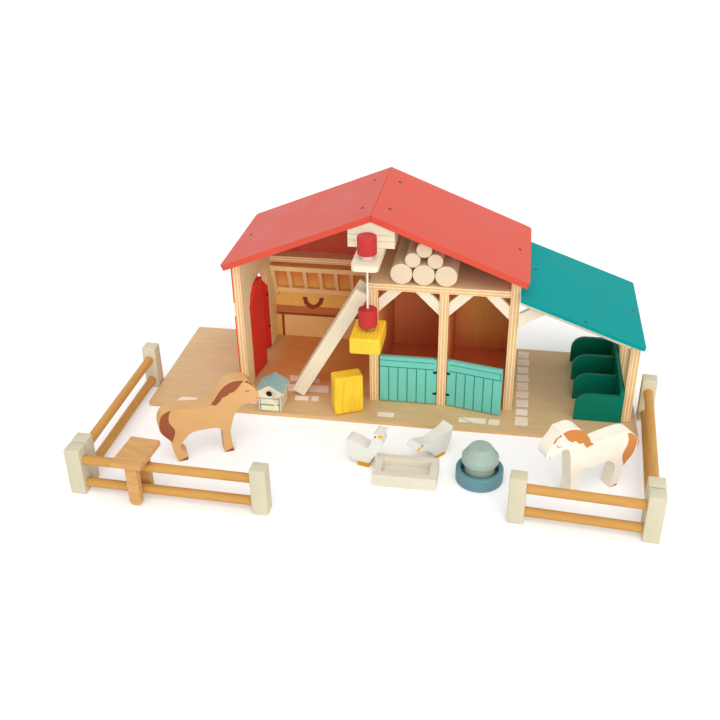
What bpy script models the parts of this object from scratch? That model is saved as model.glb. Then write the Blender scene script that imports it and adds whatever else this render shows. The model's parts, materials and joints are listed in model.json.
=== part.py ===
"""Wooden toy farm: an open fronted barn with a lean-to on a base board, and its loose play pieces.

Metres, +Z up, origin under the middle of the base board.
The front faces -Y, and the lean-to stands on the +X side.
"""

import math

import bmesh
import bpy
from mathutils import Matrix, Vector

MM = 0.001
GAP = 0.3 * MM
OVERRUN = 5 * MM

# Base board
BASE_WIDTH = 500 * MM
BASE_DEPTH = 170 * MM
BASE_THICK = 4 * MM
BASE_CORNER_ROUND = 3 * MM

# Barn walls
BARN_FROM_LEFT = 90.5 * MM
BARN_FROM_FRONT = 37.7 * MM
WALL_THICK = 9 * MM
BACK_THICK = 6 * MM
PARTITION_PLACE_SHARE = 0.486
MIDDLE_POST_PLACE_SHARE = 0.73

# Barn roof
RIDGE_HEIGHT = 209.3 * MM
ROOF_PITCH = math.radians(21.9)
ROOF_THICK = 6 * MM
ROOF_EAVE_OVERHANG = 8 * MM
ROOF_FRONT_OVERHANG = 9.9 * MM
ROOF_CORNER_ROUND = 3.5 * MM
ROOF_EDGE_ROUND = 0.9 * MM

# Loft and hay shelf
LOFT_HEADROOM = 13.47 * MM
LOFT_THICK = 7 * MM
SHELF_HEIGHT = 102 * MM
SHELF_THICK = 6.5 * MM
SHELF_DEPTH = 15.5 * MM

# Ridge beam and hoist
BEAM_WIDTH = 45 * MM
BEAM_SIDE_HEIGHT = 17 * MM
BEAM_SETBACK = 1.5 * MM
BEAM_GROOVE = 0.9 * MM
BEAM_GROOVE_HEIGHT_SHARES = (0.38, 0.74)
ARM_WIDTH = 25.5 * MM
ARM_THICK = 6 * MM
ARM_REACH = 41.8 * MM
ARM_TUCK = 20 * MM
ARM_CORNER_ROUND = 5 * MM
ARM_EYE_FROM_END = 18.5 * MM
CORD_RADIUS = 1.1 * MM
CORD_CLEARANCE = 0.5 * MM
BUSH_SHANK_RADIUS = 3.2 * MM
BUSH_FLANGE_RADIUS = 6.3 * MM
BUSH_FLANGE_THICK = 1.1 * MM
BUSH_HEIGHT = 4 * MM
KNOB_RADIUS = 9.2 * MM
KNOB_HEIGHT = 18 * MM
KNOB_ROUND = 1.6 * MM
CORD_LENGTH = 56 * MM
MAGNET_RADIUS = 4.8 * MM
MAGNET_HEIGHT = 3.4 * MM
MAGNET_OFFSET = 2.4 * MM
MAGNET_ROUND = 0.8 * MM

# Straw bales
BALE_LENGTH = 43 * MM
BALE_WIDTH = 30 * MM
BALE_THICK = 17 * MM
BALE_ROUND = 2.6 * MM
BALE_GROOVE_WIDTH = 1.3 * MM
BALE_GROOVE_DEPTH = 0.6 * MM
BALE_GROOVES = 7

# Corner braces
BRACE_REACH_SHARE = 0.406
BRACE_WIDTH_SHARE = 0.417
BRACE_THICK = 5 * MM
BRACE_SETBACK = 1.5 * MM

# Doors and their pin hinges
DOOR_THICK = 4 * MM
DOOR_EDGE_ROUND = 0.5 * MM
DOOR_FLOOR_CLEARANCE = 1.2 * MM
DOOR_FREE_CLEARANCE = 1.2 * MM
STABLE_DOOR_HEIGHT = 52.5 * MM
STABLE_DOOR_SETBACK = 1.0 * MM
STABLE_HINGE_HEIGHT_SHARES = (0.23, 0.71)
RIGHT_STABLE_DOOR_AJAR = math.radians(12.9)
HINGE_PLATE = 2.4 * MM
HINGE_EYE_RADIUS = 1.8 * MM
HINGE_PIN_RADIUS = 0.7 * MM
HINGE_PIN_CLEARANCE = 0.3 * MM

# Arched doorway in the left wall and its two leaves
DOORWAY_FROM_FRONT = 22.8 * MM
DOORWAY_FROM_BACK = 26.5 * MM
DOORWAY_HEIGHT = 108 * MM
DOORWAY_CORNER_WIDTH = 18 * MM
DOORWAY_CORNER_HEIGHT = 20 * MM
DOORWAY_CORNER_BULGE_SHARE = 0.12
LEAF_CORNER_EASE = 4 * MM
LEAF_TOP_CLEARANCE = 1.5 * MM
LEAF_INSET = 0.6 * MM
LEAF_HINGE_HEIGHT_SHARES = (0.25, 0.63)
LEAF_HOLE_RADIUS = 1.8 * MM
LEAF_HOLE_FROM_EDGE = 6 * MM
LEAF_HOLE_HEIGHT_SHARE = 0.47
FRONT_LEAF_AJAR = math.radians(8)
REAR_LEAF_AJAR = math.radians(30)

# Hay rack
HAY_BAR = 5.5 * MM
HAY_TOP_FROM_BACK = 18 * MM
HAY_TOP_HEIGHT = 92 * MM
HAY_BOTTOM_FROM_BACK = 6.2 * MM
HAY_BOTTOM_HEIGHT = 60.5 * MM
HAY_END_THICK = 4.5 * MM
HAY_END_DROP = 6 * MM
HAY_SLAT_WIDTH = 4 * MM
HAY_SLAT_THICK = 3 * MM
HAY_SLATS = 6

# Ladder
LADDER_PITCH = math.radians(60)
LADDER_BELOW_LOFT = 7.35 * MM
LADDER_RAIL_WIDTH = 14 * MM
LADDER_RAIL_THICK = 4 * MM
LADDER_WIDTH = 26 * MM
LADDER_SETBACK = 1.7 * MM
LADDER_EDGE_ROUND = 0.7 * MM
LADDER_RUNG_RADIUS = 2.5 * MM
LADDER_RUNG_SEAT = 2 * MM
LADDER_RUNGS = 6

# Logs on the loft
LARGE_LOG_RADIUS = 10.7 * MM
SMALL_LOG_RADIUS = 7.5 * MM
LOG_EDGE_ROUND = 0.5 * MM
LOG_STACK_FROM_PARTITION = 21 * MM
LOG_SETBACK = 0.8 * MM
LOG_FROM_BACK = 25.5 * MM
LOG_CLEARANCE = 0.35 * MM

# Lean-to
LEAN_WIDTH = 124 * MM
LEAN_BELOW_EAVE = 9.45 * MM
LEAN_PITCH = math.radians(20.2)
LEAN_ROOF_THICK = 3.2 * MM
LEAN_FRONT_OVERHANG = 12.5 * MM
LEAN_SIDE_OVERHANG = 2.9 * MM
LEAN_CORNER_ROUND = 3 * MM
LEAN_EDGE_ROUND = 0.6 * MM
LEAN_FRAME_FROM_FRONT = 34 * MM
RAFTER_HEIGHT = 8.5 * MM
RAFTER_THICK = 6 * MM
END_WALL_FROM_RIGHT = 6 * MM
END_POST_DEPTH = 19 * MM
END_DOORWAY_WIDTH = 57 * MM
END_LINTEL_HEIGHT = 17.2 * MM
REAR_SETBACK = 0.4 * MM

# Storage rack under the lean-to
RACK_WIDTH = 47 * MM
RACK_HEIGHT = 30 * MM
RACK_PLATE_HEIGHT = 36 * MM
RACK_THICK = 4 * MM
RACK_BAYS = 3
RACK_FROM_BACK = 15.3 * MM
RACK_CORNER_ROUND = 14 * MM
RACK_PROUD = 2.5 * MM

# Paddock fences
POST_SIZE = 14.5 * MM
POST_HEIGHT = 47.5 * MM
POST_EDGE_ROUND = 1 * MM
RAIL_RADIUS = 4.4 * MM
RAIL_HEIGHT_SHARES = (0.2, 0.72)
RAIL_SEAT_DEPTH = 6 * MM
LONG_FENCE = 186 * MM
SHORT_FENCE = 128.4 * MM
FENCE_CLEARANCE = 0.8 * MM
LEFT_FENCE_PLACE = (-17 * MM, -150.3 * MM)
LEFT_FENCE_TURN = math.radians(-1.7)
LEFT_SIDE_FENCE_TURN = math.radians(89.7)
RIGHT_FENCE_PLACE = (-123.7 * MM, -133.8 * MM)
RIGHT_FENCE_TURN = math.radians(-4.2)
RIGHT_SIDE_FENCE_TURN = math.radians(86.36)

# Stile over the left fence
STILE_HEIGHT = 50 * MM
STILE_WIDTH = 28 * MM
STILE_DEPTH = 40.5 * MM
STILE_THICK = 5 * MM
STILE_LEG_WIDTH = 11 * MM
STILE_LEG_THICK = 6 * MM
STILE_LEG_SPACE = 15.6 * MM
STILE_EDGE_ROUND = 1 * MM
STILE_ALONG_SHARE = 0.355
STILE_TURN = math.radians(-3)

# Horses, cut from thick board
HORSE_LENGTH = 97.4 * MM
HORSE_HEIGHT = 78.6 * MM
HORSE_THICK = 14 * MM
HORSE_EDGE_ROUND = 1 * MM
BROWN_HORSE_PLACE = (51.9 * MM, -96.7 * MM)
BROWN_HORSE_TURN = math.radians(28.2)
WHITE_HORSE_PLACE = (-93.95 * MM, -108.8 * MM)
WHITE_HORSE_TURN = math.radians(31.9)

# Geese
UPRIGHT_GOOSE_LENGTH = 39.3 * MM
UPRIGHT_GOOSE_HEIGHT = 40.9 * MM
FEEDING_GOOSE_LENGTH = 47.7 * MM
FEEDING_GOOSE_HEIGHT = 28.9 * MM
GOOSE_THICK = 14 * MM
GOOSE_EDGE_ROUND = 1 * MM
UPRIGHT_GOOSE_PLACE = (-10.9 * MM, -67.5 * MM)
UPRIGHT_GOOSE_TURN = math.radians(-12.5)
FEEDING_GOOSE_PLACE = (56.45 * MM, -69.5 * MM)
FEEDING_GOOSE_TURN = math.radians(48.5)

# Trough
TROUGH_LENGTH = 58.5 * MM
TROUGH_WIDTH = 33.6 * MM
TROUGH_HEIGHT = 13 * MM
TROUGH_RIM = 7 * MM
TROUGH_DEPTH = 7.5 * MM
TROUGH_DRAFT = 1.6 * MM
TROUGH_EDGE_ROUND = 1 * MM
TROUGH_PLACE = (49.1 * MM, -82.8 * MM)

# Drinker: a tray with a jar standing in it
TRAY_RADIUS = 22 * MM
TRAY_HEIGHT = 13.5 * MM
TRAY_RIM = 4.6 * MM
TRAY_FLOOR = 4.5 * MM
TRAY_EDGE_ROUND = 1.2 * MM
JAR_FOOT_RADIUS = 13.8 * MM
JAR_FOOT_HEIGHT = 15.5 * MM
JAR_SHOULDER_RADIUS = 17 * MM
JAR_SHOULDER_HEIGHT = 7 * MM
JAR_CAP_RADIUS = 9.5 * MM
JAR_CAP_HEIGHT = 9.5 * MM
JAR_EDGE_ROUND = 0.8 * MM
DRINKER_PLACE = (116.25 * MM, -74.5 * MM)

# Hen coop
COOP_WIDTH = 23.3 * MM
COOP_DEPTH = 28 * MM
COOP_EAVE_HEIGHT = 24 * MM
COOP_PEAK_HEIGHT = 31 * MM
COOP_ROOF_THICK = 3 * MM
COOP_ROOF_OVERHANG = 3 * MM
COOP_HOLE_RADIUS = 3 * MM
COOP_HOLE_DEPTH = 4 * MM
COOP_HOLE_HEIGHT = 21.5 * MM
COOP_EDGE_ROUND = 0.5 * MM
COOP_PLACE = (20.1 * MM, 1.2 * MM)

# Standing bale
STANDING_BALE_PLACE = (-30 * MM, 3 * MM)
STANDING_BALE_TURN = math.radians(24.8)

ROUND_SIDES = 28
SMALL_SIDES = 16
PIN_SIDES = 12
ARC_STEPS = 5
CURVE_STEPS = 3

# Places that several pieces share
FLOOR = BASE_THICK
LEFT_EDGE = -BASE_WIDTH / 2
FRONT_EDGE = -BASE_DEPTH / 2
BACK_EDGE = BASE_DEPTH / 2
RIGHT_EDGE = BASE_WIDTH / 2
BARN_WIDTH = BASE_WIDTH - BARN_FROM_LEFT - LEAN_WIDTH
BARN_LEFT = LEFT_EDGE + BARN_FROM_LEFT
BARN_RIGHT = BARN_LEFT + BARN_WIDTH
BARN_FRONT = FRONT_EDGE + BARN_FROM_FRONT
BACK_FACE = BACK_EDGE - BACK_THICK
LEFT_INSIDE = BARN_LEFT + WALL_THICK
RIGHT_INSIDE = BARN_RIGHT - WALL_THICK
PARTITION_LEFT = BARN_LEFT + BARN_WIDTH * PARTITION_PLACE_SHARE
PARTITION_RIGHT = PARTITION_LEFT + WALL_THICK
MIDDLE_LEFT = BARN_LEFT + BARN_WIDTH * MIDDLE_POST_PLACE_SHARE
MIDDLE_RIGHT = MIDDLE_LEFT + WALL_THICK
RIDGE_X = (BARN_LEFT + BARN_RIGHT) / 2
RIDGE_Z = FLOOR + RIDGE_HEIGHT
ROOF_FRONT = BARN_FRONT - ROOF_FRONT_OVERHANG
DOORWAY_START = BARN_FRONT + DOORWAY_FROM_FRONT
DOORWAY_WIDTH = BACK_FACE - DOORWAY_FROM_BACK - DOORWAY_START
BRACE_REACH = (RIGHT_INSIDE - MIDDLE_RIGHT) * BRACE_REACH_SHARE
BRACE_WIDTH = BRACE_REACH * BRACE_WIDTH_SHARE
BEAM_FRONT = ROOF_FRONT + BEAM_SETBACK
HINGE_OFFSET = DOOR_THICK / 2 + GAP


def roof_under(x):
    """Height of the barn roof's underside above a place on the X axis."""
    fall = math.tan(ROOF_PITCH) * abs(x - RIDGE_X)
    return RIDGE_Z - fall - ROOF_THICK / math.cos(ROOF_PITCH)


LOFT_TOP = roof_under(RIGHT_INSIDE) - LOFT_HEADROOM
LOFT_UNDER = LOFT_TOP - LOFT_THICK
BEAM_UNDER = roof_under(RIDGE_X + BEAM_WIDTH / 2) - GAP - BEAM_SIDE_HEIGHT
ARM_TOP = BEAM_UNDER - GAP
ARM_FRONT = BEAM_FRONT - ARM_REACH
HOIST_Y = ARM_FRONT + ARM_EYE_FROM_END
LEAN_LEFT = BARN_RIGHT + GAP
END_RIGHT = RIGHT_EDGE - END_WALL_FROM_RIGHT
END_LEFT = END_RIGHT - WALL_THICK
LEAN_FRAME_FRONT = FRONT_EDGE + LEAN_FRAME_FROM_FRONT
LEAN_BACK = BACK_EDGE - REAR_SETBACK

# Where the loose pieces' places are measured from
LEFT_CORNER = (LEFT_EDGE, FRONT_EDGE)
RIGHT_CORNER = (RIGHT_EDGE, FRONT_EDGE)
RIDGE_FOOT = (RIDGE_X, FRONT_EDGE)


def lean_top(x):
    """Height of the lean-to roof's upper face above a place on the X axis."""
    return roof_under(BARN_RIGHT) - LEAN_BELOW_EAVE - math.tan(LEAN_PITCH) * (x - BARN_RIGHT)


def lean_under(x):
    return lean_top(x) - LEAN_ROOF_THICK / math.cos(LEAN_PITCH)


def srgb(red, green, blue):
    """Screen colour, 0 to 255, as the linear values that a shader takes."""
    def linear(channel):
        value = channel / 255
        return value / 12.92 if value <= 0.04045 else ((value + 0.055) / 1.055) ** 2.4
    return linear(red), linear(green), linear(blue), 1


def finish(name, colour, roughness, metallic=0):
    mat = bpy.data.materials.new(name)
    mat.use_nodes = True
    shader = mat.node_tree.nodes["Principled BSDF"]
    shader.inputs["Base Color"].default_value = colour
    shader.inputs["Roughness"].default_value = roughness
    shader.inputs["Metallic"].default_value = metallic
    mat.diffuse_color = colour
    return mat


# Mesh helpers

def add_box(bm, low, high):
    corners = [(x, y, z) for z in (low[2], high[2]) for x, y in
               ((low[0], low[1]), (high[0], low[1]), (high[0], high[1]), (low[0], high[1]))]
    verts = [bm.verts.new(c) for c in corners]
    bm.faces.new(verts[3::-1])
    bm.faces.new(verts[4:])
    for i in range(4):
        j = (i + 1) % 4
        bm.faces.new((verts[i], verts[j], verts[j + 4], verts[i + 4]))


def add_prism(bm, outline, axis, start, end):
    """Extrude a flat outline along X, Y or Z. Outline points are in the other two axes, in order."""
    def point(p, along):
        if axis == "X":
            return along, p[0], p[1]
        if axis == "Y":
            return p[0], along, p[1]
        return p[0], p[1], along
    near = [bm.verts.new(point(p, start)) for p in outline]
    far = [bm.verts.new(point(p, end)) for p in outline]
    count = len(outline)
    bm.faces.new(near)
    bm.faces.new(far[::-1])
    for i in range(count):
        j = (i + 1) % count
        bm.faces.new((near[j], near[i], far[i], far[j]))


def add_turned(bm, profile, sides, centre=(0, 0)):
    """Turn a profile of (radius, height) points about an upright axis. Zero radius closes an end."""
    rings = []
    for radius, height in profile:
        if radius == 0:
            rings.append([bm.verts.new((centre[0], centre[1], height))])
            continue
        ring = []
        for i in range(sides):
            angle = math.tau * i / sides
            ring.append(bm.verts.new((centre[0] + radius * math.cos(angle),
                                      centre[1] + radius * math.sin(angle), height)))
        rings.append(ring)
    for lower, upper in zip(rings, rings[1:]):
        for i in range(sides):
            j = (i + 1) % sides
            low, high = len(lower), len(upper)
            loop = [lower[i % low], lower[j % low], upper[j % high], upper[i % high]]
            bm.faces.new(list(dict.fromkeys(loop)))
    if len(rings[0]) > 1 and len(rings[-1]) > 1 and profile[0] != profile[-1]:
        bm.faces.new(rings[0][::-1])
        bm.faces.new(rings[-1])


def add_ring(bm, profile, sides):
    """Turn a closed profile, such as a bush with a bore, about an upright axis."""
    rings = []
    for radius, height in profile:
        ring = []
        for i in range(sides):
            angle = math.tau * i / sides
            ring.append(bm.verts.new((radius * math.cos(angle), radius * math.sin(angle), height)))
        rings.append(ring)
    for lower, upper in zip(rings, rings[1:] + rings[:1]):
        for i in range(sides):
            j = (i + 1) % sides
            bm.faces.new((lower[i], lower[j], upper[j], upper[i]))


def add_rod(bm, start, end, radius, sides, edge=0):
    """Round bar from one point to another, with a small chamfer at both ends if edge is given."""
    start = Vector(start)
    end = Vector(end)
    length = (end - start).length
    rod = bmesh.new()
    if edge:
        add_turned(rod, ((radius - edge, 0), (radius, edge),
                         (radius, length - edge), (radius - edge, length)), sides)
    else:
        add_turned(rod, ((radius, 0), (radius, length)), sides)
    turn = Vector((0, 0, 1)).rotation_difference(end - start).to_matrix().to_4x4()
    bmesh.ops.transform(rod, matrix=Matrix.Translation(start) @ turn, verts=rod.verts)
    scratch = bpy.data.meshes.new("rod")
    rod.to_mesh(scratch)
    rod.free()
    bm.from_mesh(scratch)
    bpy.data.meshes.remove(scratch)


def soften(bm, width, segments=2, sharpest=math.radians(40)):
    """Round every edge whose faces meet at more than the given angle."""
    edges = [e for e in bm.edges if len(e.link_faces) == 2 and e.calc_face_angle(0) > sharpest]
    bmesh.ops.bevel(bm, geom=edges, offset=width, offset_type="OFFSET", segments=segments,
                    profile=0.5, affect="EDGES", clamp_overlap=True)


def arc(centre, radius, start, end, steps=ARC_STEPS):
    """Points on an arc, from one angle to another, in degrees."""
    points = []
    for i in range(steps + 1):
        angle = math.radians(start + (end - start) * i / steps)
        points.append((centre[0] + radius * math.cos(angle), centre[1] + radius * math.sin(angle)))
    return points


def rounded_rectangle(low, high, radius):
    return (arc((high[0] - radius, low[1] + radius), radius, -90, 0)
            + arc((high[0] - radius, high[1] - radius), radius, 0, 90)
            + arc((low[0] + radius, high[1] - radius), radius, 90, 180)
            + arc((low[0] + radius, low[1] + radius), radius, 180, 270))


def flowing_outline(shares, width, height):
    """Closed outline through points given as shares of a width and height.

    A point with a third value of 1 is a sharp corner, and the line runs smoothly through the others.
    """
    points = [Vector((s[0] * width, s[1] * height)) for s in shares]
    sharp = [len(s) > 2 for s in shares]
    count = len(points)
    outline = []
    for i in range(count):
        j = (i + 1) % count
        here, there = points[i], points[j]
        chord = there - here
        if sharp[i] and sharp[j]:
            outline.append(tuple(here))
            continue
        leave = chord if sharp[i] else (there - points[i - 1]) / 2
        arrive = chord if sharp[j] else (points[(j + 1) % count] - here) / 2
        for step in range(CURVE_STEPS):
            t = step / CURVE_STEPS
            outline.append(tuple(here * (2 * t ** 3 - 3 * t ** 2 + 1) + leave * (t ** 3 - 2 * t ** 2 + t)
                                 + there * (3 * t ** 2 - 2 * t ** 3) + arrive * (t ** 3 - t ** 2)))
    return outline


def piece(name, bm, mat, place=(0, 0, 0), turn=0, smooth=False):
    """Turn a finished bmesh into a named object whose origin is at the given place."""
    bmesh.ops.recalc_face_normals(bm, faces=bm.faces)
    mesh = bpy.data.meshes.new(name)
    bm.to_mesh(mesh)
    bm.free()
    mesh.materials.append(mat)
    if smooth:
        mesh.shade_smooth()
        mesh.set_sharp_from_angle(angle=math.radians(35))
    obj = bpy.data.objects.new(name, mesh)
    obj.location = place
    obj.rotation_euler = (0, 0, turn)
    bpy.context.scene.collection.objects.link(obj)
    return obj


def combine(obj, helper_name, bm, operation):
    """Join a bmesh, given in the object's own frame, to the object or take it away."""
    bmesh.ops.recalc_face_normals(bm, faces=bm.faces)
    mesh = bpy.data.meshes.new(helper_name)
    bm.to_mesh(mesh)
    bm.free()
    helper = bpy.data.objects.new(helper_name, mesh)
    helper.location = obj.location
    helper.rotation_euler = obj.rotation_euler
    helper.hide_render = True
    helper.display_type = "WIRE"
    bpy.context.scene.collection.objects.link(helper)
    modifier = obj.modifiers.new(helper_name, "BOOLEAN")
    modifier.operation = operation
    modifier.solver = "EXACT"
    modifier.object = helper


def cut(obj, helper_name, bm):
    combine(obj, helper_name, bm, "DIFFERENCE")


def join(obj, helper_name, bm):
    combine(obj, helper_name, bm, "UNION")


def beside(anchor, place):
    """Place on the table, given as (to the right, backwards) from an anchor."""
    return anchor[0] + place[0], anchor[1] + place[1]


def ahead(place, turn, along, aside=0):
    """Move a place by a distance along a heading, and by another to its left."""
    return (place[0] + along * math.cos(turn) - aside * math.sin(turn),
            place[1] + along * math.sin(turn) + aside * math.cos(turn))


# Base board and walls

def base_board(mats):
    bm = bmesh.new()
    outline = rounded_rectangle(LEFT_CORNER, (RIGHT_EDGE, BACK_EDGE), BASE_CORNER_ROUND)
    add_prism(bm, outline, "Z", 0, BASE_THICK)
    piece("base_board", bm, mats["board"])


def side_wall(name, left, right, mats):
    bm = bmesh.new()
    bottom = FLOOR + GAP
    outline = ((left, bottom), (right, bottom),
               (right, roof_under(right) - GAP), (left, roof_under(left) - GAP))
    add_prism(bm, outline, "Y", BARN_FRONT, BACK_FACE - GAP)
    return piece(name, bm, mats["ply"])


def doorway_outline(start, width, height, corner_width, corner_height, floor):
    """Doorway with leaning top corners that bulge a little outwards, as (along, height) points."""
    def corner(side, towards):
        foot = Vector((side, floor + height - corner_height))
        top = Vector((side + towards * corner_width, floor + height))
        middle = (foot + top) / 2
        out = Vector((-towards * corner_height, corner_width)) * DOORWAY_CORNER_BULGE_SHARE
        return [tuple(foot), tuple(middle + out), tuple(top)]
    right = corner(start + width, -1)
    left = corner(start, 1)
    return [(start, floor), (start + width, floor)] + right + left[::-1]


def left_wall(mats):
    wall = side_wall("left_wall", BARN_LEFT, LEFT_INSIDE, mats)
    bm = bmesh.new()
    outline = doorway_outline(DOORWAY_START, DOORWAY_WIDTH, DOORWAY_HEIGHT + OVERRUN,
                              DOORWAY_CORNER_WIDTH, DOORWAY_CORNER_HEIGHT, FLOOR - OVERRUN)
    add_prism(bm, outline, "X", BARN_LEFT - OVERRUN, LEFT_INSIDE + OVERRUN)
    cut(wall, "left_doorway_cutter", bm)


def inner_walls(mats):
    for name, left in (("partition", PARTITION_LEFT), ("middle_partition", MIDDLE_LEFT)):
        bm = bmesh.new()
        add_box(bm, (left, BARN_FRONT, FLOOR + GAP),
                (left + WALL_THICK, BACK_FACE - GAP, LOFT_UNDER - GAP))
        piece(name, bm, mats["ply"])


def back_wall(mats):
    bm = bmesh.new()
    bottom = FLOOR + GAP
    outline = ((BARN_LEFT, bottom), (BARN_RIGHT, bottom), (BARN_RIGHT, roof_under(BARN_RIGHT) - GAP),
               (RIDGE_X, roof_under(RIDGE_X) - GAP), (BARN_LEFT, roof_under(BARN_LEFT) - GAP))
    add_prism(bm, outline, "Y", BACK_FACE, LEAN_BACK)
    piece("back_wall", bm, mats["ply"])


def loft_and_shelf(mats):
    bm = bmesh.new()
    add_box(bm, (PARTITION_LEFT, BARN_FRONT, LOFT_UNDER),
            (RIGHT_INSIDE - GAP, BACK_FACE - GAP, LOFT_TOP))
    piece("loft_board", bm, mats["ply"])
    bm = bmesh.new()
    shelf = FLOOR + SHELF_HEIGHT
    add_box(bm, (LEFT_INSIDE + GAP, BACK_FACE - SHELF_DEPTH, shelf),
            (PARTITION_LEFT - GAP, BACK_FACE - GAP, shelf + SHELF_THICK))
    piece("hay_shelf", bm, mats["ply"])


def brace_outline(corner, towards, slope=0):
    """Diagonal bar across the upper corner of an opening, whose top may slope."""
    skew = BRACE_WIDTH * math.sqrt(2)
    x, z = corner
    inner = BRACE_REACH - skew
    return [(x, z - BRACE_REACH), (x, z - inner),
            (x + towards * inner, z - slope * inner), (x + towards * BRACE_REACH, z - slope * BRACE_REACH)]


def braces(mats):
    top = LOFT_UNDER - GAP
    front = BARN_FRONT + BRACE_SETBACK
    for i, (side, towards) in enumerate(((PARTITION_RIGHT + GAP, 1), (MIDDLE_LEFT - GAP, -1),
                                         (MIDDLE_RIGHT + GAP, 1), (RIGHT_INSIDE - GAP, -1))):
        bm = bmesh.new()
        add_prism(bm, brace_outline((side, top), towards), "Y", front, front + BRACE_THICK)
        piece("stable_brace_%d" % (i + 1), bm, mats["cream"])
    corner = (LEAN_LEFT, lean_under(LEAN_LEFT) - GAP - RAFTER_HEIGHT - GAP)
    outline = brace_outline(corner, 1, math.tan(LEAN_PITCH))
    for name, start in (("front", LEAN_FRAME_FRONT), ("rear", LEAN_BACK - BRACE_THICK)):
        bm = bmesh.new()
        add_prism(bm, outline, "Y", start, start + BRACE_THICK)
        piece("lean_to_brace_" + name, bm, mats["cream"])


# Roofs

def roof_panel(name, side, mats):
    """One slope of the barn roof, mitred at the ridge and rounded at its eave corners."""
    run = BARN_WIDTH / 2 + ROOF_EAVE_OVERHANG
    length = run / math.cos(ROOF_PITCH)
    start = GAP / 2 / math.cos(ROOF_PITCH)
    back = LEAN_BACK
    radius = ROOF_CORNER_ROUND
    outline = [(start, ROOF_FRONT)]
    outline += arc((length - radius, ROOF_FRONT + radius), radius, -90, 0)
    outline += arc((length - radius, back - radius), radius, 0, 90)
    outline += [(start, back)]
    bm = bmesh.new()
    add_prism(bm, outline, "Z", -ROOF_THICK, 0)
    mitre = ROOF_THICK * math.tan(ROOF_PITCH)
    for vert in bm.verts:
        if vert.co.x < start + GAP and vert.co.z < -ROOF_THICK / 2:
            vert.co.x += mitre
    soften(bm, ROOF_EDGE_ROUND)
    slope = Matrix.Rotation(ROOF_PITCH, 4, "Y")
    flip = Matrix.Scale(side, 4, (1, 0, 0))
    bmesh.ops.transform(bm, matrix=flip @ slope, verts=bm.verts)
    piece(name, bm, mats["red_roof"], (RIDGE_X, 0, RIDGE_Z), smooth=True)


def lean_to_roof(mats):
    right = END_RIGHT + LEAN_SIDE_OVERHANG
    length = (right - LEAN_LEFT) / math.cos(LEAN_PITCH)
    front = LEAN_FRAME_FRONT - LEAN_FRONT_OVERHANG
    radius = LEAN_CORNER_ROUND
    outline = [(0, front)] + arc((length - radius, front + radius), radius, -90, 0)
    outline += arc((length - radius, LEAN_BACK - radius), radius, 0, 90) + [(0, LEAN_BACK)]
    bm = bmesh.new()
    add_prism(bm, outline, "Z", -LEAN_ROOF_THICK, 0)
    lip = LEAN_ROOF_THICK * math.tan(LEAN_PITCH)
    for vert in bm.verts:
        if vert.co.x < GAP and vert.co.z < -LEAN_ROOF_THICK / 2:
            vert.co.x += lip
    soften(bm, LEAN_EDGE_ROUND)
    bmesh.ops.transform(bm, matrix=Matrix.Rotation(LEAN_PITCH, 4, "Y"), verts=bm.verts)
    piece("lean_to_roof", bm, mats["teal_roof"], (LEAN_LEFT, 0, lean_top(LEAN_LEFT)), smooth=True)


def lean_to_frame(mats):
    left = LEAN_LEFT
    right = END_LEFT - GAP
    tops = (lean_under(left) - GAP, lean_under(right) - GAP)
    outline = ((left, tops[0] - RAFTER_HEIGHT), (right, tops[1] - RAFTER_HEIGHT),
               (right, tops[1]), (left, tops[0]))
    for name, start in (("front", LEAN_FRAME_FRONT), ("rear", LEAN_BACK - RAFTER_THICK)):
        bm = bmesh.new()
        add_prism(bm, outline, "Y", start, start + RAFTER_THICK)
        piece("rafter_" + name, bm, mats["cream"])

    bm = bmesh.new()
    bottom = FLOOR + GAP
    outline = ((END_LEFT, bottom), (END_RIGHT, bottom),
               (END_RIGHT, lean_under(END_RIGHT) - GAP), (END_LEFT, lean_under(END_LEFT) - GAP))
    add_prism(bm, outline, "Y", LEAN_FRAME_FRONT, LEAN_BACK)
    wall = piece("lean_to_end_wall", bm, mats["ply"])
    bm = bmesh.new()
    start = LEAN_FRAME_FRONT + END_POST_DEPTH
    lintel = lean_under(END_RIGHT) - END_LINTEL_HEIGHT
    add_box(bm, (END_LEFT - OVERRUN, start, FLOOR - OVERRUN),
            (END_RIGHT + OVERRUN, start + END_DOORWAY_WIDTH, lintel))
    cut(wall, "end_doorway_cutter", bm)


def storage_rack(mats):
    """Dividers with a rounded front corner, glued to one back plate against the end wall."""
    right = END_LEFT - GAP
    left = right - RACK_WIDTH
    front = LEAN_FRAME_FRONT - RACK_PROUD
    back = LEAN_BACK - RACK_FROM_BACK
    pitch = (back - front - RACK_THICK) / RACK_BAYS
    bottom = FLOOR + GAP
    bm = bmesh.new()
    add_box(bm, (right - RACK_THICK, front, bottom), (right, back, bottom + RACK_PLATE_HEIGHT))
    rack = piece("storage_rack", bm, mats["green"])
    bm = bmesh.new()
    edge = right - RACK_THICK / 2
    top = bottom + RACK_HEIGHT
    outline = [(left, bottom), (edge, bottom), (edge, top)]
    outline += arc((left + RACK_CORNER_ROUND, top - RACK_CORNER_ROUND), RACK_CORNER_ROUND, 90, 180)
    for i in range(RACK_BAYS + 1):
        start = front + i * pitch
        add_prism(bm, outline, "Y", start, start + RACK_THICK)
    join(rack, "rack_dividers", bm)


# Ridge beam and hoist

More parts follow.
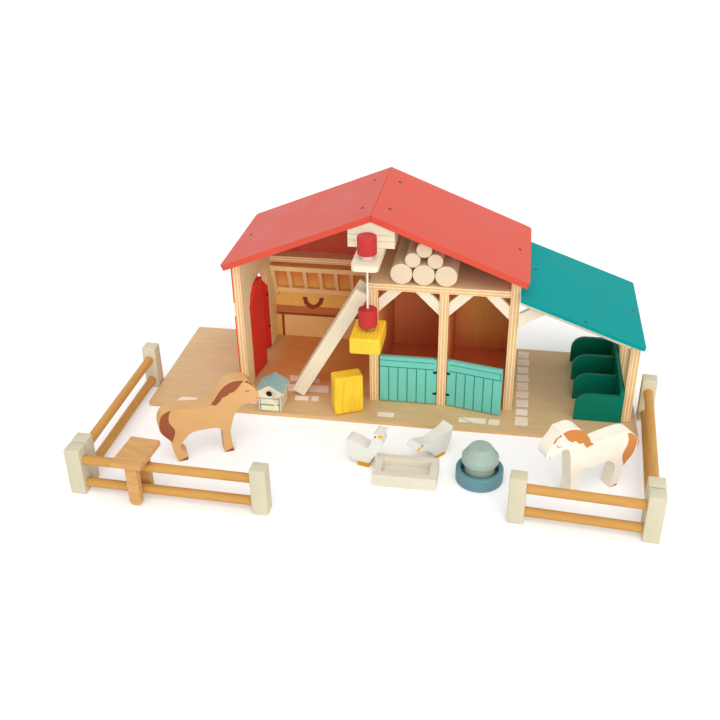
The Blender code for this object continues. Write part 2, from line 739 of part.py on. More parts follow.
def ridge_beam(mats):
    half = BEAM_WIDTH / 2
    side_top = BEAM_UNDER + BEAM_SIDE_HEIGHT
    outline = ((RIDGE_X - half, BEAM_UNDER), (RIDGE_X + half, BEAM_UNDER), (RIDGE_X + half, side_top),
               (RIDGE_X, roof_under(RIDGE_X) - GAP), (RIDGE_X - half, side_top))
    bm = bmesh.new()
    add_prism(bm, outline, "Y", BEAM_FRONT, BACK_FACE - GAP)
    beam = piece("ridge_beam", bm, mats["cream"])
    bm = bmesh.new()
    for share in BEAM_GROOVE_HEIGHT_SHARES:
        z = BEAM_UNDER + BEAM_SIDE_HEIGHT * share
        add_box(bm, (RIDGE_X - half - OVERRUN, BEAM_FRONT - OVERRUN, z),
                (RIDGE_X + half + OVERRUN, BEAM_FRONT + BEAM_GROOVE, z + BEAM_GROOVE))
    cut(beam, "beam_groove_cutter", bm)


def hoist_arm(mats):
    half = ARM_WIDTH / 2
    back = BEAM_FRONT + ARM_TUCK
    radius = ARM_CORNER_ROUND
    outline = [(RIDGE_X + half, back), (RIDGE_X - half, back)]
    outline += arc((RIDGE_X - half + radius, ARM_FRONT + radius), radius, 180, 270)
    outline += arc((RIDGE_X + half - radius, ARM_FRONT + radius), radius, 270, 360)
    bm = bmesh.new()
    add_prism(bm, outline, "Z", ARM_TOP - ARM_THICK, ARM_TOP)
    arm = piece("hoist_arm", bm, mats["cream"])
    bm = bmesh.new()
    add_turned(bm, ((BUSH_SHANK_RADIUS + GAP, ARM_TOP - ARM_THICK - OVERRUN),
                    (BUSH_SHANK_RADIUS + GAP, ARM_TOP + OVERRUN)), SMALL_SIDES, (RIDGE_X, HOIST_Y))
    cut(arm, "hoist_eye_cutter", bm)

    bore = CORD_RADIUS + CORD_CLEARANCE
    flange = GAP + BUSH_FLANGE_THICK
    crown = (BUSH_SHANK_RADIUS + BUSH_FLANGE_RADIUS) / 2
    bm = bmesh.new()
    add_ring(bm, ((bore, -ARM_THICK), (BUSH_SHANK_RADIUS, -ARM_THICK), (BUSH_SHANK_RADIUS, GAP),
                  (BUSH_FLANGE_RADIUS, GAP), (BUSH_FLANGE_RADIUS, flange), (crown, BUSH_HEIGHT),
                  (bore, BUSH_HEIGHT)), SMALL_SIDES)
    piece("hoist_bush", bm, mats["white"], (RIDGE_X, HOIST_Y, ARM_TOP), smooth=True)


def knob_profile():
    """Turned wooden knob with rounded rims, standing on zero."""
    centre = KNOB_RADIUS - KNOB_ROUND
    lower = arc((centre, KNOB_ROUND), KNOB_ROUND, -90, 0, 3)
    upper = arc((centre, KNOB_HEIGHT - KNOB_ROUND), KNOB_ROUND, 0, 90, 3)
    return [(0, 0)] + lower + upper + [(0, KNOB_HEIGHT)]


def bale_outline():
    """Section of a bale: rounded corners, with grooves pressed into both wide faces."""
    half_width = BALE_WIDTH / 2
    half_thick = BALE_THICK / 2
    flat = BALE_WIDTH - 2 * BALE_ROUND
    pitch = flat / BALE_GROOVES
    lower = []
    for i in range(BALE_GROOVES):
        x = -half_width + BALE_ROUND + (i + 0.5) * pitch
        lower += [(x - BALE_GROOVE_WIDTH / 2, -half_thick), (x, -half_thick + BALE_GROOVE_DEPTH),
                  (x + BALE_GROOVE_WIDTH / 2, -half_thick)]
    corner = half_thick - BALE_ROUND
    right = half_width - BALE_ROUND
    right_side = arc((right, -corner), BALE_ROUND, -90, 0, 3) + arc((right, corner), BALE_ROUND, 0, 90, 3)
    return lower + right_side + [(-x, -z) for x, z in lower + right_side]


def hoist(mats):
    knob_bottom = ARM_TOP + BUSH_HEIGHT + GAP
    bm = bmesh.new()
    add_turned(bm, knob_profile(), ROUND_SIDES)
    piece("hoist_knob", bm, mats["red"], (RIDGE_X, HOIST_Y, knob_bottom), smooth=True)

    cord_top = knob_bottom - GAP
    cord_bottom = cord_top - CORD_LENGTH
    bm = bmesh.new()
    add_rod(bm, (0, 0, 0), (0, 0, -CORD_LENGTH), CORD_RADIUS, PIN_SIDES)
    piece("hoist_cord", bm, mats["cord"], (RIDGE_X, HOIST_Y, cord_top), smooth=True)

    weight_bottom = cord_bottom - GAP - KNOB_HEIGHT
    bm = bmesh.new()
    add_turned(bm, knob_profile(), ROUND_SIDES)
    piece("hoist_weight", bm, mats["red"], (RIDGE_X, HOIST_Y, weight_bottom), smooth=True)

    magnet_bottom = weight_bottom - GAP - MAGNET_HEIGHT
    rim = MAGNET_RADIUS - MAGNET_ROUND
    bm = bmesh.new()
    add_turned(bm, [(MAGNET_RADIUS, 0)] + arc((rim, MAGNET_HEIGHT - MAGNET_ROUND), MAGNET_ROUND, 0, 90, 3),
               SMALL_SIDES)
    piece("bale_magnet", bm, mats["steel"], (RIDGE_X + MAGNET_OFFSET, HOIST_Y, magnet_bottom), smooth=True)

    bale_top = magnet_bottom - GAP
    bm = bmesh.new()
    add_prism(bm, bale_outline(), "Y", -BALE_LENGTH / 2, BALE_LENGTH / 2)
    piece("hanging_bale", bm, mats["straw"], (RIDGE_X, HOIST_Y, bale_top - BALE_THICK / 2))


def standing_bale(mats):
    bm = bmesh.new()
    add_prism(bm, bale_outline(), "Z", 0, BALE_LENGTH)
    bmesh.ops.translate(bm, verts=bm.verts, vec=(BALE_WIDTH / 2, BALE_THICK / 2, 0))
    x, y = beside((PARTITION_LEFT, FRONT_EDGE), STANDING_BALE_PLACE)
    piece("standing_bale", bm, mats["straw"], (x, y, FLOOR + GAP), STANDING_BALE_TURN)


# Doors. A leaf's own X runs from its hinge axis to its free edge.

def hinge_notch(bm, height):
    half = HINGE_PLATE / 2 + GAP
    side = DOOR_THICK / 2 + OVERRUN
    add_box(bm, (-OVERRUN, -side, height - half), (DOOR_THICK / 2 + GAP, side, height + half))


def door_leaf(name, width, height, mat, axis, turn, hinge_heights, corner=None, hole=None):
    """Board whose hinge edge is round about the axis, bored for the pin and notched for its two arms."""
    half = DOOR_THICK / 2
    soft = DOOR_EDGE_ROUND
    outline = arc((0, 0), half, 90, 270, 2 * ARC_STEPS)
    outline += [(width - soft, -half), (width, soft - half), (width, half - soft), (width - soft, half)]
    bm = bmesh.new()
    add_prism(bm, outline, "Z", 0, height)
    leaf = piece(name, bm, mat, axis, turn)
    cutter = bmesh.new()
    bore = HINGE_PIN_RADIUS + HINGE_PIN_CLEARANCE
    add_turned(cutter, ((bore, -OVERRUN), (bore, height + OVERRUN)), PIN_SIDES)
    cut(leaf, name + "_bore_cutter", cutter)
    cutter = bmesh.new()
    for hinge_height in hinge_heights:
        hinge_notch(cutter, hinge_height)
    cut(leaf, name + "_notch_cutter", cutter)
    if corner:
        cutter = bmesh.new()
        rise = (height - corner[1]) / corner[0]
        over = 2 * OVERRUN
        add_prism(cutter, ((-over, corner[1] - rise * over), (corner[0] + over, height + rise * over),
                           (-over, height + rise * over)), "Y", -over, over)
        cut(leaf, name + "_corner_cutter", cutter)
    if hole:
        cutter = bmesh.new()
        add_rod(cutter, (hole[0], -DOOR_THICK, hole[1]), (hole[0], DOOR_THICK, hole[1]),
                LEAF_HOLE_RADIUS, PIN_SIDES)
        cut(leaf, name + "_hole_cutter", cutter)


def hinge_pin(name, axis, turn, hinge_heights, length, mats):
    """Pin that stays on the post: a rod on the axis with an arm at each hinge height."""
    bm = bmesh.new()
    add_turned(bm, ((HINGE_PIN_RADIUS, 0), (HINGE_PIN_RADIUS, length)), PIN_SIDES)
    pin = piece(name, bm, mats["black"], axis, turn)
    bm = bmesh.new()
    reach = GAP - HINGE_OFFSET
    outline = arc((0, 0), HINGE_EYE_RADIUS, -90, 90)
    outline += [(reach, HINGE_EYE_RADIUS), (reach, -HINGE_EYE_RADIUS)]
    for height in hinge_heights:
        add_prism(bm, outline, "Z", height - HINGE_PLATE / 2, height + HINGE_PLATE / 2)
    join(pin, name + "_arms", bm)


def stable_doors(mats):
    axis_y = BARN_FRONT + STABLE_DOOR_SETBACK + DOOR_THICK / 2
    bottom = FLOOR + DOOR_FLOOR_CLEARANCE
    heights = [STABLE_DOOR_HEIGHT * share for share in STABLE_HINGE_HEIGHT_SHARES]
    for side, post, far, closed, ajar in (
            ("left", MIDDLE_LEFT, PARTITION_RIGHT, math.pi, 0),
            ("right", MIDDLE_RIGHT, RIGHT_INSIDE, 0, -RIGHT_STABLE_DOOR_AJAR)):
        towards = math.copysign(1, far - post)
        axis = (post + towards * HINGE_OFFSET, axis_y, bottom)
        width = abs(far - post) - HINGE_OFFSET - DOOR_FREE_CLEARANCE
        door_leaf("stable_door_" + side, width, STABLE_DOOR_HEIGHT, mats["aqua"],
                  axis, closed + ajar, heights)
        hinge_pin("stable_hinge_" + side, axis, closed, heights, STABLE_DOOR_HEIGHT, mats)


def barn_doors(mats):
    axis_x = LEFT_INSIDE - LEAF_INSET - DOOR_THICK / 2
    bottom = FLOOR + DOOR_FLOOR_CLEARANCE
    height = DOORWAY_HEIGHT - DOOR_FLOOR_CLEARANCE - LEAF_TOP_CLEARANCE
    width = DOORWAY_WIDTH / 2 - HINGE_OFFSET - DOOR_FREE_CLEARANCE / 2
    corner = (DOORWAY_CORNER_WIDTH + LEAF_CORNER_EASE,
              height - DOORWAY_CORNER_HEIGHT - 2 * LEAF_CORNER_EASE)
    heights = [height * share for share in LEAF_HINGE_HEIGHT_SHARES]
    hole = (width - LEAF_HOLE_FROM_EDGE, height * LEAF_HOLE_HEIGHT_SHARE)
    for side, jamb, closed, ajar, opening in (
            ("front", DOORWAY_START + HINGE_OFFSET, math.pi / 2, -FRONT_LEAF_AJAR, hole),
            ("rear", DOORWAY_START + DOORWAY_WIDTH - HINGE_OFFSET, -math.pi / 2, -REAR_LEAF_AJAR, None)):
        axis = (axis_x, jamb, bottom)
        door_leaf("barn_door_" + side, width, height, mats["red"],
                  axis, closed + ajar, heights, corner, opening)
        hinge_pin("barn_hinge_" + side, axis, closed, heights, corner[1] - DOOR_THICK, mats)


# Fittings inside the barn

def hay_rack(mats):
    left = LEFT_INSIDE + GAP
    right = PARTITION_LEFT - GAP
    top_y = BACK_FACE - HAY_TOP_FROM_BACK
    low_y = BACK_FACE - HAY_BOTTOM_FROM_BACK
    top_z = FLOOR + HAY_TOP_HEIGHT
    low_z = FLOOR + HAY_BOTTOM_HEIGHT
    bm = bmesh.new()
    lean = (low_y - top_y) / (top_z - low_z)
    drop = low_z - HAY_END_DROP
    low_back = low_y + HAY_BAR
    end = ((top_y, top_z + HAY_BAR), (top_y, top_z), (low_y + lean * HAY_END_DROP, drop),
           (low_back, drop), (low_back, low_z + HAY_BAR), (top_y + HAY_BAR, top_z + HAY_BAR))
    for start in (left, right - HAY_END_THICK):
        add_prism(bm, end, "X", start, start + HAY_END_THICK)
    rack = piece("hay_rack", bm, mats["birch"])

    bars = bmesh.new()
    seat = HAY_END_THICK / 2
    inset = (HAY_BAR - HAY_SLAT_THICK) / 2
    for y, z in ((top_y + inset / 2, top_z - inset / 2), (low_y - inset / 2, low_z)):
        add_box(bars, (left + seat, y, z), (right - seat, y + HAY_BAR, z + HAY_BAR))
    join(rack, "hay_rack_bars", bars)
    slats = bmesh.new()
    middle = HAY_BAR / 2
    top, low = top_y + inset, low_y + inset
    slat = ((top, top_z + middle), (low, low_z + middle),
            (low + HAY_SLAT_THICK, low_z + middle), (top + HAY_SLAT_THICK, top_z + middle))
    pitch = (right - left - HAY_END_THICK) / (HAY_SLATS + 1)
    for i in range(HAY_SLATS):
        x = left + seat + (i + 1) * pitch - HAY_SLAT_WIDTH / 2
        add_prism(slats, slat, "X", x, x + HAY_SLAT_WIDTH)
    join(rack, "hay_rack_slats", slats)


def ladder(mats):
    """Leans on the partition. Its own frame runs up the rails, from the foot that stands on the floor."""
    length = (LOFT_UNDER - FLOOR - LADDER_BELOW_LOFT) / math.sin(LADDER_PITCH)
    foot_x = PARTITION_LEFT - GAP - length * math.cos(LADDER_PITCH)
    foot = (foot_x, BARN_FRONT - LADDER_SETBACK, FLOOR + GAP)
    tilt = Matrix.Rotation(-LADDER_PITCH, 4, "Y")
    rails = bmesh.new()
    for start in (0, LADDER_WIDTH - LADDER_RAIL_THICK):
        add_box(rails, (0, start, 0), (length, start + LADDER_RAIL_THICK, LADDER_RAIL_WIDTH))
    soften(rails, LADDER_EDGE_ROUND, 1)
    bmesh.ops.transform(rails, matrix=tilt, verts=rails.verts)
    frame = piece("ladder", rails, mats["cream"], foot)
    rungs = bmesh.new()
    pitch = length / (LADDER_RUNGS + 1)
    middle = LADDER_RAIL_WIDTH / 2
    near = LADDER_RAIL_THICK - LADDER_RUNG_SEAT
    for i in range(LADDER_RUNGS):
        x = (i + 1) * pitch
        add_rod(rungs, (x, near, middle), (x, LADDER_WIDTH - near, middle),
                LADDER_RUNG_RADIUS, PIN_SIDES)
    bmesh.ops.transform(rungs, matrix=tilt, verts=rungs.verts)
    join(frame, "ladder_rungs", rungs)


def logs(mats):
    """Three thick logs with three thin ones lying in the valleys between them."""
    spread = LARGE_LOG_RADIUS + LOG_CLEARANCE / 2
    start_x = PARTITION_LEFT + LOG_STACK_FROM_PARTITION + LARGE_LOG_RADIUS
    floor = LOFT_TOP + GAP + LARGE_LOG_RADIUS
    reach = LARGE_LOG_RADIUS + SMALL_LOG_RADIUS + LOG_CLEARANCE
    second = floor + math.sqrt(reach ** 2 - spread ** 2)
    third = second + math.sqrt((2 * SMALL_LOG_RADIUS + LOG_CLEARANCE) ** 2 - spread ** 2)
    front = BARN_FRONT + LOG_SETBACK
    length = BACK_FACE - LOG_FROM_BACK - front
    places = [("large_log_%d" % (i + 1), LARGE_LOG_RADIUS, start_x + 2 * i * spread, floor)
              for i in range(3)]
    places += [("small_log_1", SMALL_LOG_RADIUS, start_x + spread, second),
               ("small_log_2", SMALL_LOG_RADIUS, start_x + 3 * spread, second),
               ("small_log_3", SMALL_LOG_RADIUS, start_x + 2 * spread, third)]
    for name, radius, x, z in places:
        bm = bmesh.new()
        add_rod(bm, (0, 0, 0), (0, length, 0), radius, ROUND_SIDES, LOG_EDGE_ROUND)
        piece(name, bm, mats["beech"], (x, front, z), smooth=True)


# Paddock

def fence(name, length, place, turn, mats):
    """Two square posts with two round rails glued into them."""
    bm = bmesh.new()
    for start in (0, length - POST_SIZE):
        add_box(bm, (start, 0, 0), (start + POST_SIZE, POST_SIZE, POST_HEIGHT))
    soften(bm, POST_EDGE_ROUND, 1)
    posts = piece(name, bm, mats["post"], (place[0], place[1], 0), turn)
    rails = bmesh.new()
    near = POST_SIZE - RAIL_SEAT_DEPTH
    middle = POST_SIZE / 2
    for share in RAIL_HEIGHT_SHARES:
        z = POST_HEIGHT * share
        add_rod(rails, (near, middle, z), (length - near, middle, z), RAIL_RADIUS, SMALL_SIDES)
    join(posts, name + "_rails", rails)


def fences(mats):
    left = beside(LEFT_CORNER, LEFT_FENCE_PLACE)
    fence("left_fence", LONG_FENCE, left, LEFT_FENCE_TURN, mats)
    corner = ahead(left, LEFT_FENCE_TURN, POST_SIZE, POST_SIZE + FENCE_CLEARANCE)
    fence("left_side_fence", LONG_FENCE, corner, LEFT_SIDE_FENCE_TURN, mats)
    right = beside(RIGHT_CORNER, RIGHT_FENCE_PLACE)
    fence("right_fence", SHORT_FENCE, right, RIGHT_FENCE_TURN, mats)
    corner = ahead(right, RIGHT_FENCE_TURN, SHORT_FENCE, POST_SIZE + FENCE_CLEARANCE)
    corner = (corner[0], corner[1] + FENCE_CLEARANCE)
    fence("right_side_fence", LONG_FENCE, corner, RIGHT_SIDE_FENCE_TURN, mats)
    stile(left, mats)


def stile(fence_place, mats):
    """A step that straddles the left fence, one leg on either side of its rails."""
    centre = ahead(fence_place, LEFT_FENCE_TURN, LONG_FENCE * STILE_ALONG_SHARE, POST_SIZE / 2)
    place = (centre[0], centre[1], 0)
    turn = LEFT_FENCE_TURN + STILE_TURN
    half_width = STILE_WIDTH / 2
    half_depth = STILE_DEPTH / 2
    under = STILE_HEIGHT - STILE_THICK
    bm = bmesh.new()
    add_box(bm, (-half_width, -half_depth, under), (half_width, half_depth, STILE_HEIGHT))
    soften(bm, STILE_EDGE_ROUND)
    step = piece("stile", bm, mats["oak"], place, turn, smooth=True)
    bm = bmesh.new()
    leg = STILE_LEG_WIDTH / 2
    seat = under + STILE_THICK / 2
    outline = [(leg, seat), (-leg, seat)] + arc((0, leg), leg, 180, 360, 2 * ARC_STEPS)
    for start in (-STILE_LEG_SPACE / 2 - STILE_LEG_THICK, STILE_LEG_SPACE / 2):
        add_prism(bm, outline, "Y", start, start + STILE_LEG_THICK)
    join(step, "stile_legs", bm)


# Animals, cut out of board. A third value of 1 marks a sharp corner.

BROWN_HORSE_OUTLINE_SHARES = (
    (0.145, 0, 1), (0.236, 0, 1), (0.24, 0.09), (0.182, 0.205), (0.255, 0.335), (0.33, 0.388), (0.45, 0.39),
    (0.56, 0.375), (0.602, 0.31), (0.605, 0.16), (0.606, 0, 1), (0.70, 0, 1), (0.686, 0.15), (0.684, 0.29),
    (0.71, 0.43), (0.752, 0.56), (0.82, 0.64), (0.895, 0.645), (0.962, 0.655), (0.995, 0.71), (0.97, 0.80),
    (0.925, 0.90), (0.895, 0.965), (0.86, 0.985, 1), (0.80, 0.998), (0.73, 0.995), (0.66, 0.955),
    (0.59, 0.87), (0.54, 0.785), (0.50, 0.718), (0.40, 0.706), (0.25, 0.728), (0.13, 0.74), (0.055, 0.715),
    (0.008, 0.62), (0.004, 0.49), (0.048, 0.39), (0.102, 0.29), (0.108, 0.18))

WHITE_HORSE_OUTLINE_SHARES = (
    (0.272, 0, 1), (0.345, 0, 1), (0.38, 0.18), (0.382, 0.31), (0.42, 0.385), (0.53, 0.38), (0.66, 0.405),
    (0.735, 0.37), (0.782, 0.27), (0.765, 0.14), (0.745, 0, 1), (0.825, 0, 1), (0.855, 0.14),
    (0.878, 0.27),
    (0.94, 0.39), (0.99, 0.50), (0.992, 0.60), (0.93, 0.70), (0.855, 0.745), (0.75, 0.745), (0.62, 0.73),
    (0.49, 0.712), (0.45, 0.77), (0.395, 0.87), (0.33, 0.955), (0.25, 0.998), (0.175, 0.985),
    (0.132, 0.985, 1),
    (0.095, 0.91), (0.045, 0.83), (0.014, 0.765), (0.004, 0.70), (0.03, 0.67), (0.11, 0.70), (0.20, 0.735),
    (0.245, 0.69), (0.272, 0.56), (0.28, 0.42), (0.303, 0.20))

UPRIGHT_GOOSE_OUTLINE_SHARES = (
    (0.313, 0, 1), (0.602, 0, 1), (0.627, 0.129, 1), (0.745, 0.343), (0.89, 0.593), (0.953, 0.767),
    (0.912, 0.864),
    (0.985, 0.985, 1), (0.854, 0.985), (0.79, 0.995), (0.73, 0.96), (0.69, 0.83), (0.653, 0.67),
    (0.572, 0.54), (0.47, 0.555), (0.35, 0.60), (0.24, 0.64), (0.13, 0.665), (0.04, 0.65), (0.004, 0.585, 1),
    (0.061, 0.341), (0.179, 0.153), (0.324, 0.132, 1))

FEEDING_GOOSE_OUTLINE_SHARES = (
    (0.586, 0, 1), (0.802, 0, 1), (0.80, 0.088, 1), (0.905, 0.365), (0.976, 0.713), (0.996, 0.995, 1),
    (0.859, 0.856), (0.668, 0.81), (0.481, 0.745), (0.292, 0.79), (0.136, 0.885), (0.03, 0.83),
    (0.004, 0.749, 1), (0.069, 0.664, 1), (0.123, 0.701), (0.329, 0.473), (0.476, 0.219), (0.542, 0.096, 1))


def cut_out(name, shares, size, thick, edge, place, turn, mat):
    """Animal cut out of board. Its outline stands in the front face, and the board runs back from it."""
    bm = bmesh.new()
    add_prism(bm, flowing_outline(shares, size[0], size[1]), "Y", 0, thick)
    soften(bm, edge, 2, math.radians(70))
    piece(name, bm, mat, (place[0], place[1], 0), turn, smooth=True)


def animals(mats):
    horse = (HORSE_LENGTH, HORSE_HEIGHT)
    upright = (UPRIGHT_GOOSE_LENGTH, UPRIGHT_GOOSE_HEIGHT)
    feeding = (FEEDING_GOOSE_LENGTH, FEEDING_GOOSE_HEIGHT)
    for name, shares, size, thick, edge, place, turn, mat in (
            ("brown_horse", BROWN_HORSE_OUTLINE_SHARES, horse, HORSE_THICK, HORSE_EDGE_ROUND,
             beside(LEFT_CORNER, BROWN_HORSE_PLACE), BROWN_HORSE_TURN, "brown"),
            ("white_horse", WHITE_HORSE_OUTLINE_SHARES, horse, HORSE_THICK, HORSE_EDGE_ROUND,
             beside(RIGHT_CORNER, WHITE_HORSE_PLACE), WHITE_HORSE_TURN, "ivory"),
            ("upright_goose", UPRIGHT_GOOSE_OUTLINE_SHARES, upright, GOOSE_THICK, GOOSE_EDGE_ROUND,
             beside(RIDGE_FOOT, UPRIGHT_GOOSE_PLACE), UPRIGHT_GOOSE_TURN, "white"),
            ("feeding_goose", FEEDING_GOOSE_OUTLINE_SHARES, feeding, GOOSE_THICK, GOOSE_EDGE_ROUND,
             beside(RIDGE_FOOT, FEEDING_GOOSE_PLACE), FEEDING_GOOSE_TURN, "white")):
        cut_out(name, shares, size, thick, edge, place, turn, mats[mat])


# Things on the ground

def trough(mats):
    half_x = TROUGH_LENGTH / 2
    half_y = TROUGH_WIDTH / 2
    bm = bmesh.new()
    add_box(bm, (-half_x, -half_y, 0), (half_x, half_y, TROUGH_HEIGHT))
    soften(bm, TROUGH_EDGE_ROUND)
    x, y = beside(RIDGE_FOOT, TROUGH_PLACE)
    block = piece("trough", bm, mats["cream"], (x, y, 0), smooth=True)
    bm = bmesh.new()
    floor = TROUGH_HEIGHT - TROUGH_DEPTH
    widen = TROUGH_DRAFT * (TROUGH_DEPTH + OVERRUN) / TROUGH_DEPTH
    low_x = half_x - TROUGH_RIM - TROUGH_DRAFT
    low_y = half_y - TROUGH_RIM - TROUGH_DRAFT + TROUGH_DRAFT / 2
    add_box(bm, (-low_x, -low_y, floor), (low_x, low_y, TROUGH_HEIGHT + OVERRUN))
    for vert in bm.verts:
        if vert.co.z > TROUGH_HEIGHT:
            vert.co.x += math.copysign(widen, vert.co.x)
            vert.co.y += math.copysign(widen, vert.co.y)
    cut(block, "trough_recess_cutter", bm)


def drinker(mats):
    place = beside(RIDGE_FOOT, DRINKER_PLACE)
    edge = TRAY_EDGE_ROUND
    inside = TRAY_RADIUS - TRAY_RIM
    half_rim = TRAY_RIM / 2
    bm = bmesh.new()
    profile = [(0, 0), (TRAY_RADIUS - edge, 0), (TRAY_RADIUS, edge), (TRAY_RADIUS, TRAY_HEIGHT - edge)]
    profile += [(TRAY_RADIUS - edge / 2, TRAY_HEIGHT - edge / 4), (TRAY_RADIUS - half_rim, TRAY_HEIGHT)]
    profile += [(inside + edge / 2, TRAY_HEIGHT - edge / 4), (inside, TRAY_HEIGHT - edge)]
    profile += [(inside, TRAY_FLOOR), (0, TRAY_FLOOR)]
    add_turned(bm, profile, ROUND_SIDES)
    piece("drinker_tray", bm, mats["slate"], (place[0], place[1], 0), smooth=True)

    shoulder = JAR_FOOT_HEIGHT + JAR_SHOULDER_HEIGHT
    top = shoulder + JAR_CAP_HEIGHT
    edge = JAR_EDGE_ROUND
    bm = bmesh.new()
    profile = [(0, 0), (JAR_FOOT_RADIUS - edge, 0), (JAR_FOOT_RADIUS, edge),
               (JAR_FOOT_RADIUS, JAR_FOOT_HEIGHT)]
    profile += [(JAR_SHOULDER_RADIUS - edge, JAR_FOOT_HEIGHT), (JAR_SHOULDER_RADIUS, JAR_FOOT_HEIGHT + edge)]
    profile += [(JAR_SHOULDER_RADIUS, shoulder - edge), (JAR_SHOULDER_RADIUS - edge / 2, shoulder)]
    profile += [(JAR_CAP_RADIUS + edge / 2, top - edge), (JAR_CAP_RADIUS - edge, top), (0, top)]
    add_turned(bm, profile, ROUND_SIDES)
    piece("drinker_jar", bm, mats["sage"], (place[0], place[1], TRAY_FLOOR + GAP), smooth=True)


def coop(mats):
    """Small house block with an overhanging roof and a round entrance."""
    width = COOP_WIDTH
    over = COOP_ROOF_OVERHANG
    eave = COOP_EAVE_HEIGHT
    slope = (COOP_PEAK_HEIGHT - eave) / (width / 2)
    tip = eave - slope * over
    thick = COOP_ROOF_THICK
    outline = ((0, 0), (width, 0), (width, eave - thick), (width + over, tip - thick), (width + over, tip),
               (width / 2, COOP_PEAK_HEIGHT), (-over, tip), (-over, tip - thick), (0, eave - thick))
    bm = bmesh.new()
    add_prism(bm, outline, "Y", 0, COOP_DEPTH)
    soften(bm, COOP_EDGE_ROUND, 1)
    x, y = beside((LEFT_INSIDE, FRONT_EDGE), COOP_PLACE)
    block = piece("coop", bm, mats["ivory"], (x, y, FLOOR + GAP))
    bm = bmesh.new()
    centre = width / 2
    add_rod(bm, (centre, -OVERRUN, COOP_HOLE_HEIGHT), (centre, COOP_HOLE_DEPTH, COOP_HOLE_HEIGHT),
            COOP_HOLE_RADIUS, SMALL_SIDES)
    cut(block, "coop_hole_cutter", bm)


def build_materials():
    return {
        "board": finish("varnished_board", srgb(214, 170, 112), 0.45),
        "ply": finish("birch_ply", srgb(226, 188, 134), 0.5),
        "birch": finish("birch", srgb(222, 184, 130), 0.5),
        "beech": finish("pale_beech", srgb(238, 219, 186), 0.55),
        "cream": finish("limewashed_wood", srgb(243, 233, 208), 0.55),
        "post": finish("post_wood", srgb(236, 229, 204), 0.6),
        "oak": finish("stained_board", srgb(208, 160, 100), 0.5),
        "red_roof": finish("red_roof_paint", srgb(218, 92, 80), 0.45),
        "red": finish("red_paint", srgb(190, 40, 38), 0.4),
        "teal_roof": finish("teal_roof_paint", srgb(0, 158, 154), 0.45),
        "aqua": finish("aqua_paint", srgb(124, 200, 183), 0.45),
        "green": finish("green_paint", srgb(20, 122, 99), 0.45),
        "straw": finish("straw_paint", srgb(247, 202, 30), 0.5),
        "brown": finish("brown_stain", srgb(227, 178, 116), 0.5),
        "ivory": finish("ivory_paint", srgb(247, 242, 228), 0.5),
        "white": finish("white_paint", srgb(240, 240, 236), 0.5),
        "slate": finish("slate_paint", srgb(107, 153, 163), 0.45),
        "sage": finish("sage_paint", srgb(174, 194, 176), 0.45),
        "cord": finish("cotton_cord", srgb(244, 240, 230), 0.9),
        "black": finish("black_steel", srgb(30, 30, 32), 0.4, 0.6),
        "steel": finish("bright_steel", srgb(200, 202, 206), 0.2, 1),
    }


def main():
    for obj in list(bpy.data.objects):
        bpy.data.objects.remove(obj, do_unlink=True)
    mats = build_materials()
    base_board(mats)
    left_wall(mats)
    side_wall("right_wall", RIGHT_INSIDE, BARN_RIGHT, mats)
    inner_walls(mats)
    back_wall(mats)
    loft_and_shelf(mats)
    braces(mats)
    roof_panel("roof_left", -1, mats)
    roof_panel("roof_right", 1, mats)
    lean_to_roof(mats)
    lean_to_frame(mats)
    storage_rack(mats)
    ridge_beam(mats)
    hoist_arm(mats)
    hoist(mats)
    stable_doors(mats)
    barn_doors(mats)
    hay_rack(mats)
    ladder(mats)
    logs(mats)
    fences(mats)
    animals(mats)
    trough(mats)
    drinker(mats)
    coop(mats)
    standing_bale(mats)


main()
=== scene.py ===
"""Paint, wood grain, prints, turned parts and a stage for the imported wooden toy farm."""

import json
import math
from functools import partial, reduce
from itertools import product
from types import SimpleNamespace

import bmesh
import bpy
from mathutils import Matrix, Vector


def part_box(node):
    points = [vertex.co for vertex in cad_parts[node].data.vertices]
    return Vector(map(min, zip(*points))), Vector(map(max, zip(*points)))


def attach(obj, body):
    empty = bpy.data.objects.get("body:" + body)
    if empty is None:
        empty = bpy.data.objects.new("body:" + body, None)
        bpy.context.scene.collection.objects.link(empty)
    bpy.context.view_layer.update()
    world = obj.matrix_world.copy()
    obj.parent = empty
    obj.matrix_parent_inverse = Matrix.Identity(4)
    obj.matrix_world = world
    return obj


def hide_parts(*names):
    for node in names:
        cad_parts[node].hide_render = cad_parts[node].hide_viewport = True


bl_info = {
    "name": "Wooden toy farm",
    "version": (1, 0, 0),
    "blender": (4, 5, 0),
    "location": "View3D > Sidebar > Toy farm",
    "description": "Dresses a wooden toy barn, its lean-to, paddock, animals and small pieces",
    "category": "Add Mesh",
}

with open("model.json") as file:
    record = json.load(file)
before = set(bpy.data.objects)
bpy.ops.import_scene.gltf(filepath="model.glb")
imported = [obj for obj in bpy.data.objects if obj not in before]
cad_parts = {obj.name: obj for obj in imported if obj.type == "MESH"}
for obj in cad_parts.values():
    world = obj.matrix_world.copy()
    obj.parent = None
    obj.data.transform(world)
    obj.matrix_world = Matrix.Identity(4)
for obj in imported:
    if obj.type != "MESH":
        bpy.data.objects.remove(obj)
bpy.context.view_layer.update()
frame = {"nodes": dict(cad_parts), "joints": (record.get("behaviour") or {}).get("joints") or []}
NODES = frame["nodes"]
JOINTS = {joint["name"]: joint for joint in frame["joints"]}

MM = 0.001
UP = Vector((0, 0, 1))
FRONT = Vector((0, -1, 0))
ROUND_SIDES = 72
SHARP_ANGLE = math.radians(35)
SINK = 0.05 * MM
SAME_WAY = 0.999

